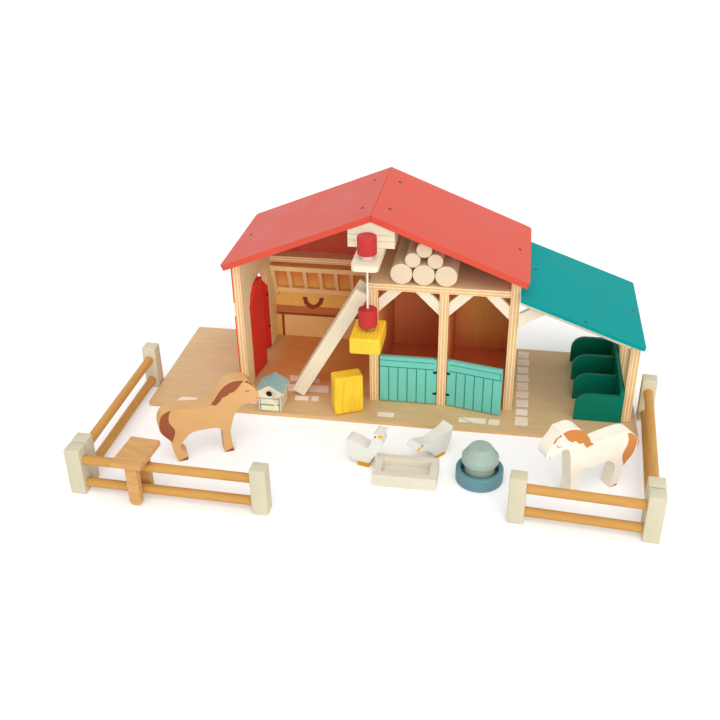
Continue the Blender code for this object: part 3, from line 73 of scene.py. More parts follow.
# The camera, solved from the straight edges of the board and the roofs
CAMERA_PLACE = (0.11252, -0.85629, 0.52917)
CAMERA_YAW = -0.164373
CAMERA_PITCH = 0.521175
CAMERA_ROLL = -0.010879
CAMERA_LENS = 46.42
CAMERA_SENSOR = 36.0
CAMERA_SHIFT = (-0.01193, -0.00675)

# The base board's front left corner, from which prints and screws are placed
BOARD_CORNER = Vector((-250, -85, 4)) * MM
BOARD_TOP = BOARD_CORNER.z


def srgb(red, green, blue):
    """Screen colour, 0 to 255, as the linear values that a shader takes."""
    def linear(channel):
        value = channel / 255
        return value / 12.92 if value <= 0.04045 else ((value + 0.055) / 1.055) ** 2.4
    return linear(red), linear(green), linear(blue), 1.0


def shade(colour, amount):
    """The same colour made darker, below 1, or lighter, above 1."""
    return tuple(min(channel * amount, 1.0) for channel in colour[:3]) + (1.0,)


# Settings that a user would change

def colour_setting(name, description, red, green, blue):
    return bpy.props.FloatVectorProperty(name=name, description=description, default=srgb(red, green, blue),
                                         size=4, min=0, max=1, subtype="COLOR")


def length_setting(name, description, millimetres):
    return bpy.props.FloatProperty(name=name, description=description, default=millimetres * MM,
                                   min=0, unit="LENGTH", precision=5)


class FarmColours(bpy.types.PropertyGroup):
    """Paints, stains, bare woods, and the painted shade and light inside the barn."""
    roof_red: colour_setting("Roof red", "Paint of the barn roof", 212, 78, 58)
    door_red: colour_setting("Door red", "Paint of the barn doors and the wall outside", 228, 56, 44)
    knob_red: colour_setting("Knob red", "Paint of the hoist's knob and weight", 190, 52, 50)
    roof_teal: colour_setting("Roof teal", "Paint of the lean-to roof", 0, 148, 146)
    door_aqua: colour_setting("Door aqua", "Paint of the stable doors", 116, 202, 186)
    line_aqua: colour_setting("Line aqua", "Lines between the planks of the stable doors", 30, 150, 128)
    rack_green: colour_setting("Rack green", "Paint of the storage rack", 6, 118, 96)
    straw: colour_setting("Straw", "Paint of the bales", 248, 206, 46)
    slate: colour_setting("Slate", "Paint of the drinker tray", 98, 142, 150)
    sage: colour_setting("Sage", "Paint of the drinker jar", 160, 180, 168)
    coop_blue: colour_setting("Coop blue", "Paint of the coop's roof and lines", 146, 178, 180)
    cream: colour_setting("Cream", "Limewashed wood", 238, 226, 200)
    post: colour_setting("Post", "Fence posts", 208, 202, 176)
    rail: colour_setting("Rail", "Fence rails", 202, 152, 80)
    stile: colour_setting("Stile", "Stained stile", 210, 162, 100)
    ply: colour_setting("Ply", "Face of the birch ply", 244, 214, 168)
    ply_line: colour_setting("Ply line", "Dark layers in the edges of the ply", 220, 170, 112)
    board: colour_setting("Board", "Varnished base board", 217, 183, 135)
    beech: colour_setting("Beech", "Bare logs", 228, 208, 178)
    brown_coat: colour_setting("Brown coat", "Brown horse", 215, 169, 112)
    brown_mane: colour_setting("Brown mane", "Mane, tail and hooves of the brown horse", 150, 82, 52)
    white_coat: colour_setting("White coat", "White horse", 246, 240, 224)
    orange_mane: colour_setting("Orange mane", "Mane, tail and hooves of the white horse", 207, 134, 70)
    goose: colour_setting("Goose", "Geese", 224, 223, 214)
    beak: colour_setting("Beak", "Beaks and feet of the geese", 240, 176, 28)
    # The next three colours are painted light and shade, not stains: a warm painted shade with bounce inside
    # the bay and the stables, and a painted golden light on parts of their walls and above the loft
    bay_stain: colour_setting("Bay painted shade", "Painted warm shade inside the tall bay", 242, 156, 78)
    stable_stain: colour_setting("Stable painted shade", "Painted warm shade inside the stables", 250, 158, 104)
    golden_stain: colour_setting("Painted golden light", "Painted golden light in the stables and the loft", 255, 204, 112)
    paving: colour_setting("Paving", "Printed paving stones", 250, 234, 220)
    print_brown: colour_setting("Print brown", "Dark prints on the back wall", 150, 76, 42)


class FarmSizes(bpy.types.PropertyGroup):
    """Small details that don't belong to the solids."""
    print_proud: length_setting("Print height", "How far a painted print stands proud", 0.12)
    screw_radius: length_setting("Screw radius", "Radius of the roof screws", 1.9)
    plank_pitch: length_setting("Plank pitch", "Width of a plank on the stable doors", 9.55)
    line_width: length_setting("Line width", "Width of the lines between planks", 1.15)
    paving_pitch: length_setting("Paving pitch", "Distance between stones in the paved strip", 17)
    bale_groove: length_setting("Bale groove", "Depth of the grooves in the bales", 0.8)
    hoof_height: length_setting("Hoof height", "Height of the painted hooves", 3.6)
    foot_height: length_setting("Foot height", "Height of the upright goose's painted feet", 5.2)


def colours():
    """The scene's colours, as plain values."""
    chosen = bpy.context.scene.farm_colours
    return SimpleNamespace(**{key: tuple(getattr(chosen, key)) for key in FarmColours.__annotations__})


def sizes():
    return bpy.context.scene.farm_sizes


# Node trees

HEADINGS = {"X": (0, 0, 0), "Y": (0, 0, -math.pi / 2), "Z": (0, math.pi / 2, 0)}
STREAK_SHARE, FIGURE_SHARE, FLECK_SHARE = 0.34, 0.3, 0.25
PLY_LAYER = 1.5 * MM


class Wiring:
    """Adds nodes to one tree and joins them. A node's inputs are given by name or by number."""

    def __init__(self, tree):
        self.tree = tree

    def add(self, kind, inputs=None, **settings):
        node = self.tree.nodes.new(kind)
        for key, value in settings.items():
            setattr(node, key, value)
        for key, value in (inputs or {}).items():
            self.feed(node.inputs[key], value)
        return node

    def feed(self, socket, value):
        if isinstance(value, bpy.types.NodeSocket):
            self.tree.links.new(value, socket)
        else:
            socket.default_value = value

    def math(self, operation, *values, clamp=False):
        node = self.add("ShaderNodeMath", dict(enumerate(values)), operation=operation, use_clamp=clamp)
        return node.outputs[0]

    def times(self, value, factor):
        return self.math("MULTIPLY", value, factor)

    def vector(self, operation, *values):
        node = self.add("ShaderNodeVectorMath", dict(enumerate(values)), operation=operation)
        return node.outputs["Value" if operation == "LENGTH" else "Vector"]

    def parts(self, vector):
        return self.add("ShaderNodeSeparateXYZ", {"Vector": vector}).outputs

    def mix(self, factor, first, second, blend="MIX"):
        node = self.add("ShaderNodeMix", {0: factor}, data_type="RGBA", blend_type=blend)
        self.feed(node.inputs[6], first)
        self.feed(node.inputs[7], second)
        return node.outputs[2]

    def remap(self, value, low, high, to_low=0.0, to_high=1.0):
        node = self.add("ShaderNodeMapRange", {"Value": value, "From Min": low, "From Max": high,
                                               "To Min": to_low, "To Max": to_high})
        return node.outputs[0]

    def noise(self, vector, scale, detail=2.0, distortion=0.0, stretch=None):
        """Noise over the surface. A stretch below 1 draws it out along X."""
        if stretch:
            vector = self.vector("MULTIPLY", vector, (stretch, 1, 1))
        node = self.add("ShaderNodeTexNoise", {"Vector": vector, "Scale": scale, "Detail": detail,
                                               "Distortion": distortion})
        return node.outputs["Fac"]

    def group(self, name, make, inputs):
        """A shared node group with this tree's own values. Returns its outputs."""
        return self.add("ShaderNodeGroup", inputs, node_tree=shared(name, make)).outputs


def new_group(name, kind, inputs, outputs, result="Float"):
    """An empty node tree with its sockets. Returns its wiring, what comes in and what goes out.

    An input is given by its default, or by the kind of its socket where it has none.
    """
    tree = bpy.data.node_groups.new(name, kind)
    for label, default in inputs.items():
        bare = isinstance(default, str)
        socket = "NodeSocket" + (default if bare else type(default).__name__.capitalize())
        made = tree.interface.new_socket(label, in_out="INPUT", socket_type=socket)
        if not bare:
            made.default_value = default
    for label in outputs:
        tree.interface.new_socket(label, in_out="OUTPUT", socket_type="NodeSocket" + result)
    wiring = Wiring(tree)
    return wiring, wiring.add("NodeGroupInput").outputs, wiring.add("NodeGroupOutput").inputs


def shared(name, make):
    """A node group that is built once."""
    return bpy.data.node_groups.get(name) or make(name)


def make_wood_grain(name):
    """Streaks, broad figure and small flecks along the X of the vector that comes in."""
    wiring, source, sink = new_group(name, "ShaderNodeTree", {"Vector": "Vector", "Fineness": 1.0},
                                     ("Streaks", "Figure", "Flecks"))
    vector, fineness = source["Vector"], source["Fineness"]
    fine = wiring.noise(vector, wiring.times(fineness, 850), 3, stretch=0.05)
    wiring.feed(sink["Streaks"], wiring.remap(fine, 0.36, 0.66))
    broad = wiring.noise(vector, wiring.times(fineness, 42), 2, 0.5, stretch=0.14)
    waves = wiring.math("SINE", wiring.times(broad, 46))
    wiring.feed(sink["Figure"], wiring.remap(waves, -1, 1))
    specks = wiring.noise(vector, wiring.times(fineness, 1500), 1, stretch=0.22)
    wiring.feed(sink["Flecks"], wiring.remap(specks, 0.64, 0.74))
    return wiring.tree


def make_paint_film(name):
    """Slow mottle and fine pores of paint over wood."""
    wiring, source, sink = new_group(name, "ShaderNodeTree", {"Vector": "Vector"}, ("Mottle", "Pores"))
    vector = source["Vector"]
    slow = wiring.noise(vector, 26, 3, 0.3)
    brush = wiring.noise(vector, 420, 3, stretch=0.16)
    both = wiring.math("ADD", wiring.times(slow, 0.7), wiring.times(brush, 0.3))
    wiring.feed(sink["Mottle"], wiring.remap(both, 0.35, 0.65))
    pores = wiring.noise(vector, 1900, 2, stretch=0.3)
    wiring.feed(sink["Pores"], wiring.remap(pores, 0.3, 0.7))
    return wiring.tree


def make_ply_layers(name):
    """Alternate layers and glue lines through a board's thickness, given the depth into it."""
    wiring, source, sink = new_group(
        name, "ShaderNodeTree", {"Depth": 0.0, "Layer": PLY_LAYER, "Vector": "Vector"}, ("Layers", "Glue"))
    wave = wiring.noise(source["Vector"], 30)
    shift = wiring.times(wiring.math("SUBTRACT", wave, 0.5), 0.5 * MM)
    depth = wiring.math("ADD", source["Depth"], shift)
    steps = wiring.math("DIVIDE", depth, source["Layer"])
    ramp = wiring.math("PINGPONG", steps, 1)
    wiring.feed(sink["Layers"], wiring.remap(ramp, 0.42, 0.58))
    near = wiring.math("ABSOLUTE", wiring.math("SUBTRACT", ramp, 0.5))
    wiring.feed(sink["Glue"], wiring.remap(near, 0.13, 0.04))
    return wiring.tree


def make_zone(name):
    """1 inside a box given by its low and high corners, fading out within a soft distance."""
    wiring, source, sink = new_group(name, "ShaderNodeTree",
                                     dict.fromkeys(("Vector", "Low", "High", "Soft"), "Vector"), ("Mask",))
    sides = []
    for first, second in (("Vector", "Low"), ("High", "Vector")):
        gap = wiring.vector("SUBTRACT", source[first], source[second])
        shares = wiring.parts(wiring.vector("DIVIDE", gap, source["Soft"]))
        sides += [wiring.math("MULTIPLY", share, 1, clamp=True) for share in shares]
    wiring.feed(sink["Mask"], reduce(partial(wiring.math, "MULTIPLY"), sides))
    return wiring.tree


class Finish(Wiring):
    """A material in the making. The X of along runs with the grain."""

    def __init__(self, name, heading="X"):
        self.mat = bpy.data.materials.new(name)
        self.mat.use_nodes = True
        super().__init__(self.mat.node_tree)
        place = self.add("ShaderNodeTexCoord").outputs
        self.place, self.normal = place["Object"], place["Normal"]
        turn = HEADINGS.get(heading, heading)
        self.along = self.add("ShaderNodeMapping", {"Vector": self.place, "Rotation": turn}).outputs[0]

    def finished(self, colour, roughness, height, depth, strength=0.5, more=()):
        """Feeds the shader and returns the material. The height, with its depth in millimetres, is a bump."""
        bump = self.add("ShaderNodeBump", {"Height": height, "Distance": depth * MM, "Strength": strength})
        shader = self.tree.nodes["Principled BSDF"]
        for label, value in (("Base Color", colour), ("Roughness", roughness), ("Normal", bump.outputs[0]),
                             *more):
            self.feed(shader.inputs[label], value)
        return self.mat


def wood(name, light, dark=None, heading="X", roughness=0.5, contrast=1.0, fineness=1.0, ply=None, zones=()):
    """Varnished or bare wood.

    ply is (axis number, place of the face, layer thickness, line colour) where a board's edges show layers.
    zones are (low corner, high corner, soft distance or its three parts, colour) of areas painted with shade
    or light, in metres.
    """
    skin = Finish(name, heading)
    dark = dark or shade(light, 0.72)
    grain = skin.group("Wood grain", make_wood_grain, {"Vector": skin.along, "Fineness": fineness})
    slow = skin.noise(skin.place, 14)
    base = skin.mix(skin.remap(slow, 0.35, 0.65), shade(light, 0.96), shade(light, 1.05))
    # Areas of painted shade and painted light laid over the wood's own colour
    for low, high, soft, colour in zones:
        soft = soft if isinstance(soft, tuple) else (soft,) * 3
        zone = skin.group("Zone mask", make_zone,
                          {"Vector": skin.place, "Low": low, "High": high, "Soft": soft})
        base = skin.mix(zone["Mask"], base, colour)
    tint = skin.math("ADD", skin.times(grain["Streaks"], STREAK_SHARE * contrast),
                     skin.times(grain["Figure"], FIGURE_SHARE * contrast))
    ratio = tuple(min(d / max(l, 0.001), 1.0) for d, l in zip(dark[:3], light[:3])) + (1.0,)
    base = skin.mix(tint, base, ratio, "MULTIPLY")
    base = skin.mix(skin.times(grain["Flecks"], FLECK_SHARE * contrast), base, shade(dark, 0.8))
    if ply:
        axis, face, layer, line = ply
        depth = skin.math("SUBTRACT", skin.parts(skin.place)[axis], face)
        layers = skin.group("Ply layers", make_ply_layers,
                            {"Depth": depth, "Layer": layer, "Vector": skin.place})
        side = skin.mix(skin.times(layers["Layers"], 0.75), shade(light, 1.06), line)
        side = skin.mix(skin.times(layers["Glue"], 0.55), side, shade(line, 0.55))
        patchy = skin.noise(skin.vector("MULTIPLY", skin.place, (1, 1, 0.4)), 260, 3)
        side = skin.mix(skin.remap(patchy, 0.5, 0.75, 0, 0.35), side, shade(light, 1.08))
        is_edge = skin.remap(skin.math("ABSOLUTE", skin.parts(skin.normal)[axis]), 0.6, 0.4)
        base = skin.mix(is_edge, base, side)
    rough = skin.remap(grain["Streaks"], 0, 1, roughness - 0.06, roughness + 0.1)
    return skin.finished(base, rough, grain["Streaks"], 0.06, more=[("Specular IOR Level", 0.25)])


def paint(name, colour, roughness, heading="X", mottle=0.07, bump=0.05, gloss=0.2):
    """Satin paint over wood."""
    skin = Finish(name, heading)
    film = skin.group("Paint film", make_paint_film, {"Vector": skin.along})
    base = skin.mix(film["Mottle"], shade(colour, 1 - mottle), shade(colour, 1 + mottle))
    rough = skin.remap(film["Mottle"], 0, 1, roughness - 0.05, roughness + 0.07)
    return skin.finished(base, rough, film["Pores"], bump, more=[("Specular IOR Level", gloss)])


def metal(name, colour, roughness, metallic=1.0):
    skin = Finish(name)
    scratches = skin.noise(skin.along, 2600, stretch=0.1)
    rough = skin.remap(scratches, 0.3, 0.7, roughness - 0.08, roughness + 0.08)
    base = skin.mix(scratches, shade(colour, 0.8), shade(colour, 1.15))
    return skin.finished(base, rough, scratches, 0.02, 0.3, [("Metallic", metallic)])


def assign(mat, *names):
    """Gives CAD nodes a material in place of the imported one."""
    for name in names:
        slots = NODES[name].data.materials
        slots.clear()
        slots.append(mat)


# Mesh helpers

def node_mesh(name):
    """A merged copy of a CAD node's mesh."""
    bm = bmesh.new()
    bm.from_mesh(NODES[name].data)
    bmesh.ops.remove_doubles(bm, verts=bm.verts, dist=0.002 * MM)
    for face in bm.faces:
        face.material_index = 0
    return bm


def finish_piece(name, bm, mats, body, stands_for=(), smooth=True, matrix=None, flat=None):
    """Turns a bmesh into a piece that rides on a body. Faces along the direction flat stay flat."""
    if matrix is not None:
        bmesh.ops.transform(bm, matrix=matrix, verts=bm.verts)
    bmesh.ops.recalc_face_normals(bm, faces=bm.faces)
    mesh = bpy.data.meshes.new(name)
    bm.to_mesh(mesh)
    bm.free()
    for mat in mats:
        mesh.materials.append(mat)
    return place_mesh(name, mesh, body, stands_for, smooth, flat)


def link(obj):
    bpy.context.scene.collection.objects.link(obj)
    return obj


def place_mesh(name, mesh, body, stands_for=(), smooth=True, flat=None):
    if smooth:
        mesh.shade_smooth()
        mesh.set_sharp_from_angle(angle=SHARP_ANGLE)
    if flat:
        for polygon in mesh.polygons:
            if abs(polygon.normal.dot(flat)) > SAME_WAY:
                polygon.use_smooth = False
    obj = link(bpy.data.objects.new(name, mesh))
    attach(obj, body)
    if stands_for:
        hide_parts(*stands_for)
    return obj


def add_slab(bm, points, normal, proud, index):
    """A thin flat print: an outline of points on a face, sunk a little into it and standing proud of it."""
    normal = Vector(normal).normalized()
    low = [bm.verts.new(Vector(p) - normal * SINK) for p in points]
    high = [bm.verts.new(Vector(p) + normal * proud) for p in points]
    faces = [bm.faces.new(low[::-1]), bm.faces.new(high)]
    count = len(points)
    for i in range(count):
        j = (i + 1) % count
        faces.append(bm.faces.new((low[i], low[j], high[j], high[i])))
    for face in faces:
        face.material_index = index


def rectangle(place, x0, z0, x1, z1):
    return [place(x, z) for x, z in ((x0, z0), (x1, z0), (x1, z1), (x0, z1))]


def add_bar(bm, size, centre):
    """A plain box. Returns its corners."""
    verts = bmesh.ops.create_cube(bm, size=1)["verts"]
    bmesh.ops.scale(bm, vec=size, verts=verts)
    bmesh.ops.translate(bm, vec=centre, verts=verts)
    return verts


def cut(bm, place, normal):
    """Splits the faces where a plane crosses them."""
    bmesh.ops.bisect_plane(bm, geom=bm.verts[:] + bm.edges[:] + bm.faces[:], plane_co=place, plane_no=normal,
                           dist=0.001 * MM)


def on_slope(x, y, point, normal):
    """The place above x and y on a sloping plane."""
    spot = Vector((x, y, 0))
    spot.z = point.z - (spot - point).xy.dot(normal.xy) / normal.z
    return spot


def add_skin(bm, rings):
    """Faces between rings of as many corners."""
    for lower, upper in zip(rings, rings[1:]):
        for k in range(len(lower)):
            j = (k + 1) % len(lower)
            bm.faces.new((lower[k], lower[j], upper[j], upper[k]))


def round_spots(centre, radius, count):
    x, y = centre
    angles = [math.tau * i / count for i in range(count)]
    return [(x + radius * math.cos(angle), y + radius * math.sin(angle)) for angle in angles]


def add_turned(bm, profile, sides, index=0):
    """Turns a profile of (radius, height) points about Z and returns its corners.

    Zero radius closes an end, and a profile without one is closed into a ring.
    """
    rings = []
    for radius, height in profile:
        spots = round_spots((0, 0), radius, 1 if radius == 0 else sides)
        rings.append([bm.verts.new((x, y, height)) for x, y in spots])
    closed = profile[0][0] != 0 and profile[-1][0] != 0
    pairs = list(zip(rings, rings[1:])) + ([(rings[-1], rings[0])] if closed else [])
    for lower, upper in pairs:
        for i in range(sides):
            j = (i + 1) % sides
            loop = [ring[k % len(ring)] for ring, k in ((lower, i), (lower, j), (upper, j), (upper, i))]
            bm.faces.new(list(dict.fromkeys(loop))).material_index = index
    return [vert for ring in rings for vert in ring]


def turned_piece(node, profile, mat, body, sides=ROUND_SIDES, base=None, lie=None):
    """A turned piece in place of a node: upright from its lowest point or a given height, or lying down."""
    low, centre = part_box(node)[0], centre_of(node)
    matrix = Matrix.Translation((centre.x, centre.y, low.z if base is None else base))
    if lie:
        matrix = Matrix.Translation((centre.x, low.y, centre.z)) @ lie
    bm = bmesh.new()
    add_turned(bm, profile, sides)
    finish_piece(node + "_turned", bm, [mat], body, [node], matrix=matrix)


def arc(centre, radius, start, end, steps=6):
    points = []
    for i in range(steps + 1):
        angle = math.radians(start + (end - start) * i / steps)
        points.append((centre[0] + radius * math.cos(angle), centre[1] + radius * math.sin(angle)))
    return points


def add_round_box(bm, size, radius, centre):
    """A box with rounded edges."""
    made = add_bar(bm, size, (0, 0, 0))
    edges = list({edge for vert in made for edge in vert.link_edges})
    bevelled = bmesh.ops.bevel(bm, geom=edges, offset=radius, offset_type="OFFSET", segments=3, profile=0.5,
                               affect="EDGES")
    verts = {vert for face in bevelled["faces"] for vert in face.verts} | {v for v in made if v.is_valid}
    bmesh.ops.translate(bm, vec=centre, verts=list(verts))


def smooth_loop(points, steps):
    """A closed smooth line through flat points."""
    count = len(points)
    line = []
    for i in range(count):
        before, here, there, after = (Vector(points[(i + k) % count]) for k in (-1, 0, 1, 2))
        leave = (there - before) / 2
        arrive = (after - here) / 2
        for step in range(steps):
            t = step / steps
            line.append(here * (2 * t ** 3 - 3 * t ** 2 + 1) + leave * (t ** 3 - 2 * t ** 2 + t)
                        + there * (3 * t ** 2 - 2 * t ** 3) + arrive * (t ** 3 - t ** 2))
    return line


def centre_of(node):
    low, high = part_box(node)
    return (low + high) / 2


# Geometry Nodes that repeat small things

def grown(name, tree, values, points=((0, 0, 0),)):
    """Runs a node tree on a few points and returns the result as a plain mesh."""
    host_mesh = bpy.data.meshes.new(name + "_points")
    host_mesh.from_pydata([tuple(p) for p in points], [], [])
    host = link(bpy.data.objects.new(name + "_host", host_mesh))
    modifier = host.modifiers.new("repeat", "NODES")
    modifier.node_group = tree
    for item in tree.interface.items_tree:
        if item.in_out == "INPUT" and item.name in values:
            modifier[item.identifier] = values[item.name]
    depsgraph = bpy.context.evaluated_depsgraph_get()
    mesh = bpy.data.meshes.new_from_object(host.evaluated_get(depsgraph), depsgraph=depsgraph)
    host.modifiers.remove(modifier)
    bpy.data.objects.remove(host)
    return mesh


def row_and_box(wiring, source, axis, measures):
    """A row of points along an axis, and the box for each of them."""
    offset = wiring.add("ShaderNodeCombineXYZ", {axis: source["Pitch"]})
    line = wiring.add("GeometryNodeMeshLine", {"Count": source["Count"], "Offset": offset.outputs[0]})
    size = wiring.add("ShaderNodeCombineXYZ", {key: source[label] for key, label in measures.items()})
    box = wiring.add("GeometryNodeMeshCube", {"Size": size.outputs[0]})
    return line.outputs[0], box.outputs[0]


def random_vector(wiring, source, low, high):
    node = wiring.add("FunctionNodeRandomValue", {"Seed": source["Seed"]}, data_type="FLOAT_VECTOR")
    node.inputs[0].default_value = low
    node.inputs[1].default_value = high
    return node.outputs[0]


def spread_out(wiring, source, sink, points, shape, **more):
    """Puts the shape on the points, makes the copies real and gives them the material."""
    spread = wiring.add("GeometryNodeInstanceOnPoints", {"Points": points, "Instance": shape, **more})
    real = wiring.add("GeometryNodeRealizeInstances", {"Geometry": spread.outputs[0]})
    dressed = wiring.add("GeometryNodeSetMaterial", {"Geometry": real.outputs[0],
                                                     "Material": source["Material"]})
    wiring.feed(sink[0], dressed.outputs[0])
    return wiring.tree


def grower(name, inputs):
    """A Geometry Nodes tree with its geometry and material sockets and the given ones between them."""
    return new_group(name, "GeometryNodeTree", {"Geometry": "Geometry", **inputs, "Material": "Material"},
                     ("Geometry",), "Geometry")


def make_plank_lines(name):
    """A row of thin upright bars along X."""
    wiring, source, sink = grower(name, {"Count": 5, "Pitch": 10 * MM, "Width": MM, "Height": 40 * MM,
                                         "Depth": 0.2 * MM})
    points, bar = row_and_box(wiring, source, "X", {"X": "Width", "Y": "Depth", "Z": "Height"})
    return spread_out(wiring, source, sink, points, bar)


def make_paving_row(name):
    """Stones in a row along Y, with uneven lengths and a little turn."""
    wiring, source, sink = grower(name, {"Count": 9, "Pitch": 17 * MM, "Width": 12 * MM, "Length": 14 * MM,
                                         "Depth": 0.2 * MM, "Seed": 3})
    points, stone = row_and_box(wiring, source, "Y", {"X": "Width", "Y": "Length", "Z": "Depth"})
    turn = random_vector(wiring, source, (0, 0, -0.06), (0, 0, 0.09))
    stretch = random_vector(wiring, source, (0.94, 0.72, 1), (1.04, 1.0, 1))
    return spread_out(wiring, source, sink, points, stone, Rotation=turn, Scale=stretch)


def make_screw_pattern(name):
    """The given screw on every point, each turned by its own amount."""
    wiring, source, sink = grower(name, {"Screw": "Object", "Seed": 5})
    screw = wiring.add("GeometryNodeObjectInfo", {"Object": source["Screw"]}).outputs["Geometry"]
    turn = random_vector(wiring, source, (0, 0, 0), (0, 0, 3))
    return spread_out(wiring, source, sink, source["Geometry"], screw, Rotation=turn)


# Stage. Each lamp is the direction towards it, its strength and its spread in degrees.

LAMPS = {"overhead": ((0.1, -0.5, 1), 0.95, 45), "front_fill": ((0.3, -1, 0.24), 0.9, 40),
         "side_fill": ((1, -0.7, 0.3), 0.55, 50)}
LAMP_COLOUR = (1, 0.99, 0.975)
WHITE = (1, 1, 1, 1)
SKY_LIGHT = (0.985, 0.99, 1, 1)
SKY_STRENGTH = 0.75
FLOOR_GREY = (0.86, 0.86, 0.86, 1)
FLOOR_GLOW = 0.2
FLOOR_REACH = 6


def make_camera():
    cos_yaw, sin_yaw = math.cos(CAMERA_YAW), math.sin(CAMERA_YAW)
    cos_pitch, sin_pitch = math.cos(CAMERA_PITCH), math.sin(CAMERA_PITCH)
    ahead = Vector((sin_yaw * cos_pitch, cos_yaw * cos_pitch, -sin_pitch))
    level = Vector((cos_yaw, -sin_yaw, 0))
    upward = level.cross(ahead)
    right = math.cos(CAMERA_ROLL) * level + math.sin(CAMERA_ROLL) * upward
    top = math.cos(CAMERA_ROLL) * upward - math.sin(CAMERA_ROLL) * level
    data = bpy.data.cameras.new("camera")
    data.lens = CAMERA_LENS
    data.sensor_width = CAMERA_SENSOR
    data.shift_x, data.shift_y = CAMERA_SHIFT
    data.clip_start = 0.01
    data.clip_end = 50
    camera = link(bpy.data.objects.new("camera", data))
    turn = Matrix((right, top, -ahead)).transposed().to_4x4()
    camera.matrix_world = Matrix.Translation(CAMERA_PLACE) @ turn
    bpy.context.scene.camera = camera


def seen_directly(wiring):
    """1 for rays that come straight from the camera, or by way of a mirror or glass."""
    path = wiring.add("ShaderNodeLightPath")
    first = wiring.math("MAXIMUM", path.outputs["Is Camera Ray"], path.outputs["Is Glossy Ray"])
    return wiring.math("MAXIMUM", first, path.outputs["Is Transmission Ray"])


def bare_wiring(block):
    """The wiring of a world or material whose nodes are taken out first."""
    block.use_nodes = True
    block.node_tree.nodes.clear()
    return Wiring(block.node_tree)


def make_world():
    world = bpy.data.worlds.new("studio")
    wiring = bare_wiring(world)
    light = wiring.add("ShaderNodeBackground", {"Color": SKY_LIGHT, "Strength": SKY_STRENGTH})
    backdrop = wiring.add("ShaderNodeBackground", {"Color": WHITE, "Strength": 1.0})
    choose = wiring.add("ShaderNodeMixShader", {0: seen_directly(wiring), 1: light.outputs[0],
                                                2: backdrop.outputs[0]})
    wiring.add("ShaderNodeOutputWorld", {"Surface": choose.outputs[0]})
    bpy.context.scene.world = world


def make_lamps():
    for name, (towards, strength, spread) in LAMPS.items():
        sun = bpy.data.lights.new(name, "SUN")
        sun.energy = strength
        sun.angle = math.radians(spread)
        sun.color = LAMP_COLOUR
        lamp = link(bpy.data.objects.new(name, sun))
        lamp.matrix_world = Vector(towards).to_track_quat("Z", "Y").to_matrix().to_4x4()


def make_floor():
    mesh = bpy.data.meshes.new("floor")
    reach = FLOOR_REACH
    mesh.from_pydata([(-reach, -reach, 0), (reach, -reach, 0), (reach, reach, 0), (-reach, reach, 0)], [],
                     [(0, 1, 2, 3)])
    floor = link(bpy.data.objects.new("floor", mesh))
    mat = bpy.data.materials.new("paper_floor")
    wiring = bare_wiring(mat)
    matte = wiring.add("ShaderNodeBsdfDiffuse", {"Color": FLOOR_GREY})
    glow = wiring.add("ShaderNodeEmission", {"Color": WHITE,
                                             "Strength": wiring.times(seen_directly(wiring), FLOOR_GLOW)})
    both = wiring.add("ShaderNodeAddShader", {0: matte.outputs[0], 1: glow.outputs[0]})
    wiring.add("ShaderNodeOutputMaterial", {"Surface": both.outputs[0]})
    mesh.materials.append(mat)


class TOYFARM_OT_stage(bpy.types.Operator):
    """Adds the camera, the pale floor, the white surroundings and three soft lamps"""
    bl_idname = "toyfarm.stage"
    bl_label = "Stage"

    def execute(self, context):
        scene = bpy.context.scene
        scene.view_settings.view_transform = "Standard"
        make_camera()
        make_world()
        make_lamps()
        make_floor()
        return {"FINISHED"}


# Woodwork

# The softness of a sharp border between areas of painted shade and light, and a distance past everything
CRISP = 0.5 * MM
FAR = 0.5
SLANT = math.pi / 4
LADDER_SLANT = math.radians(60)


def ply_for(node, axis, layer=PLY_LAYER):
    return axis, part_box(node)[0][axis], layer, colours().ply_line


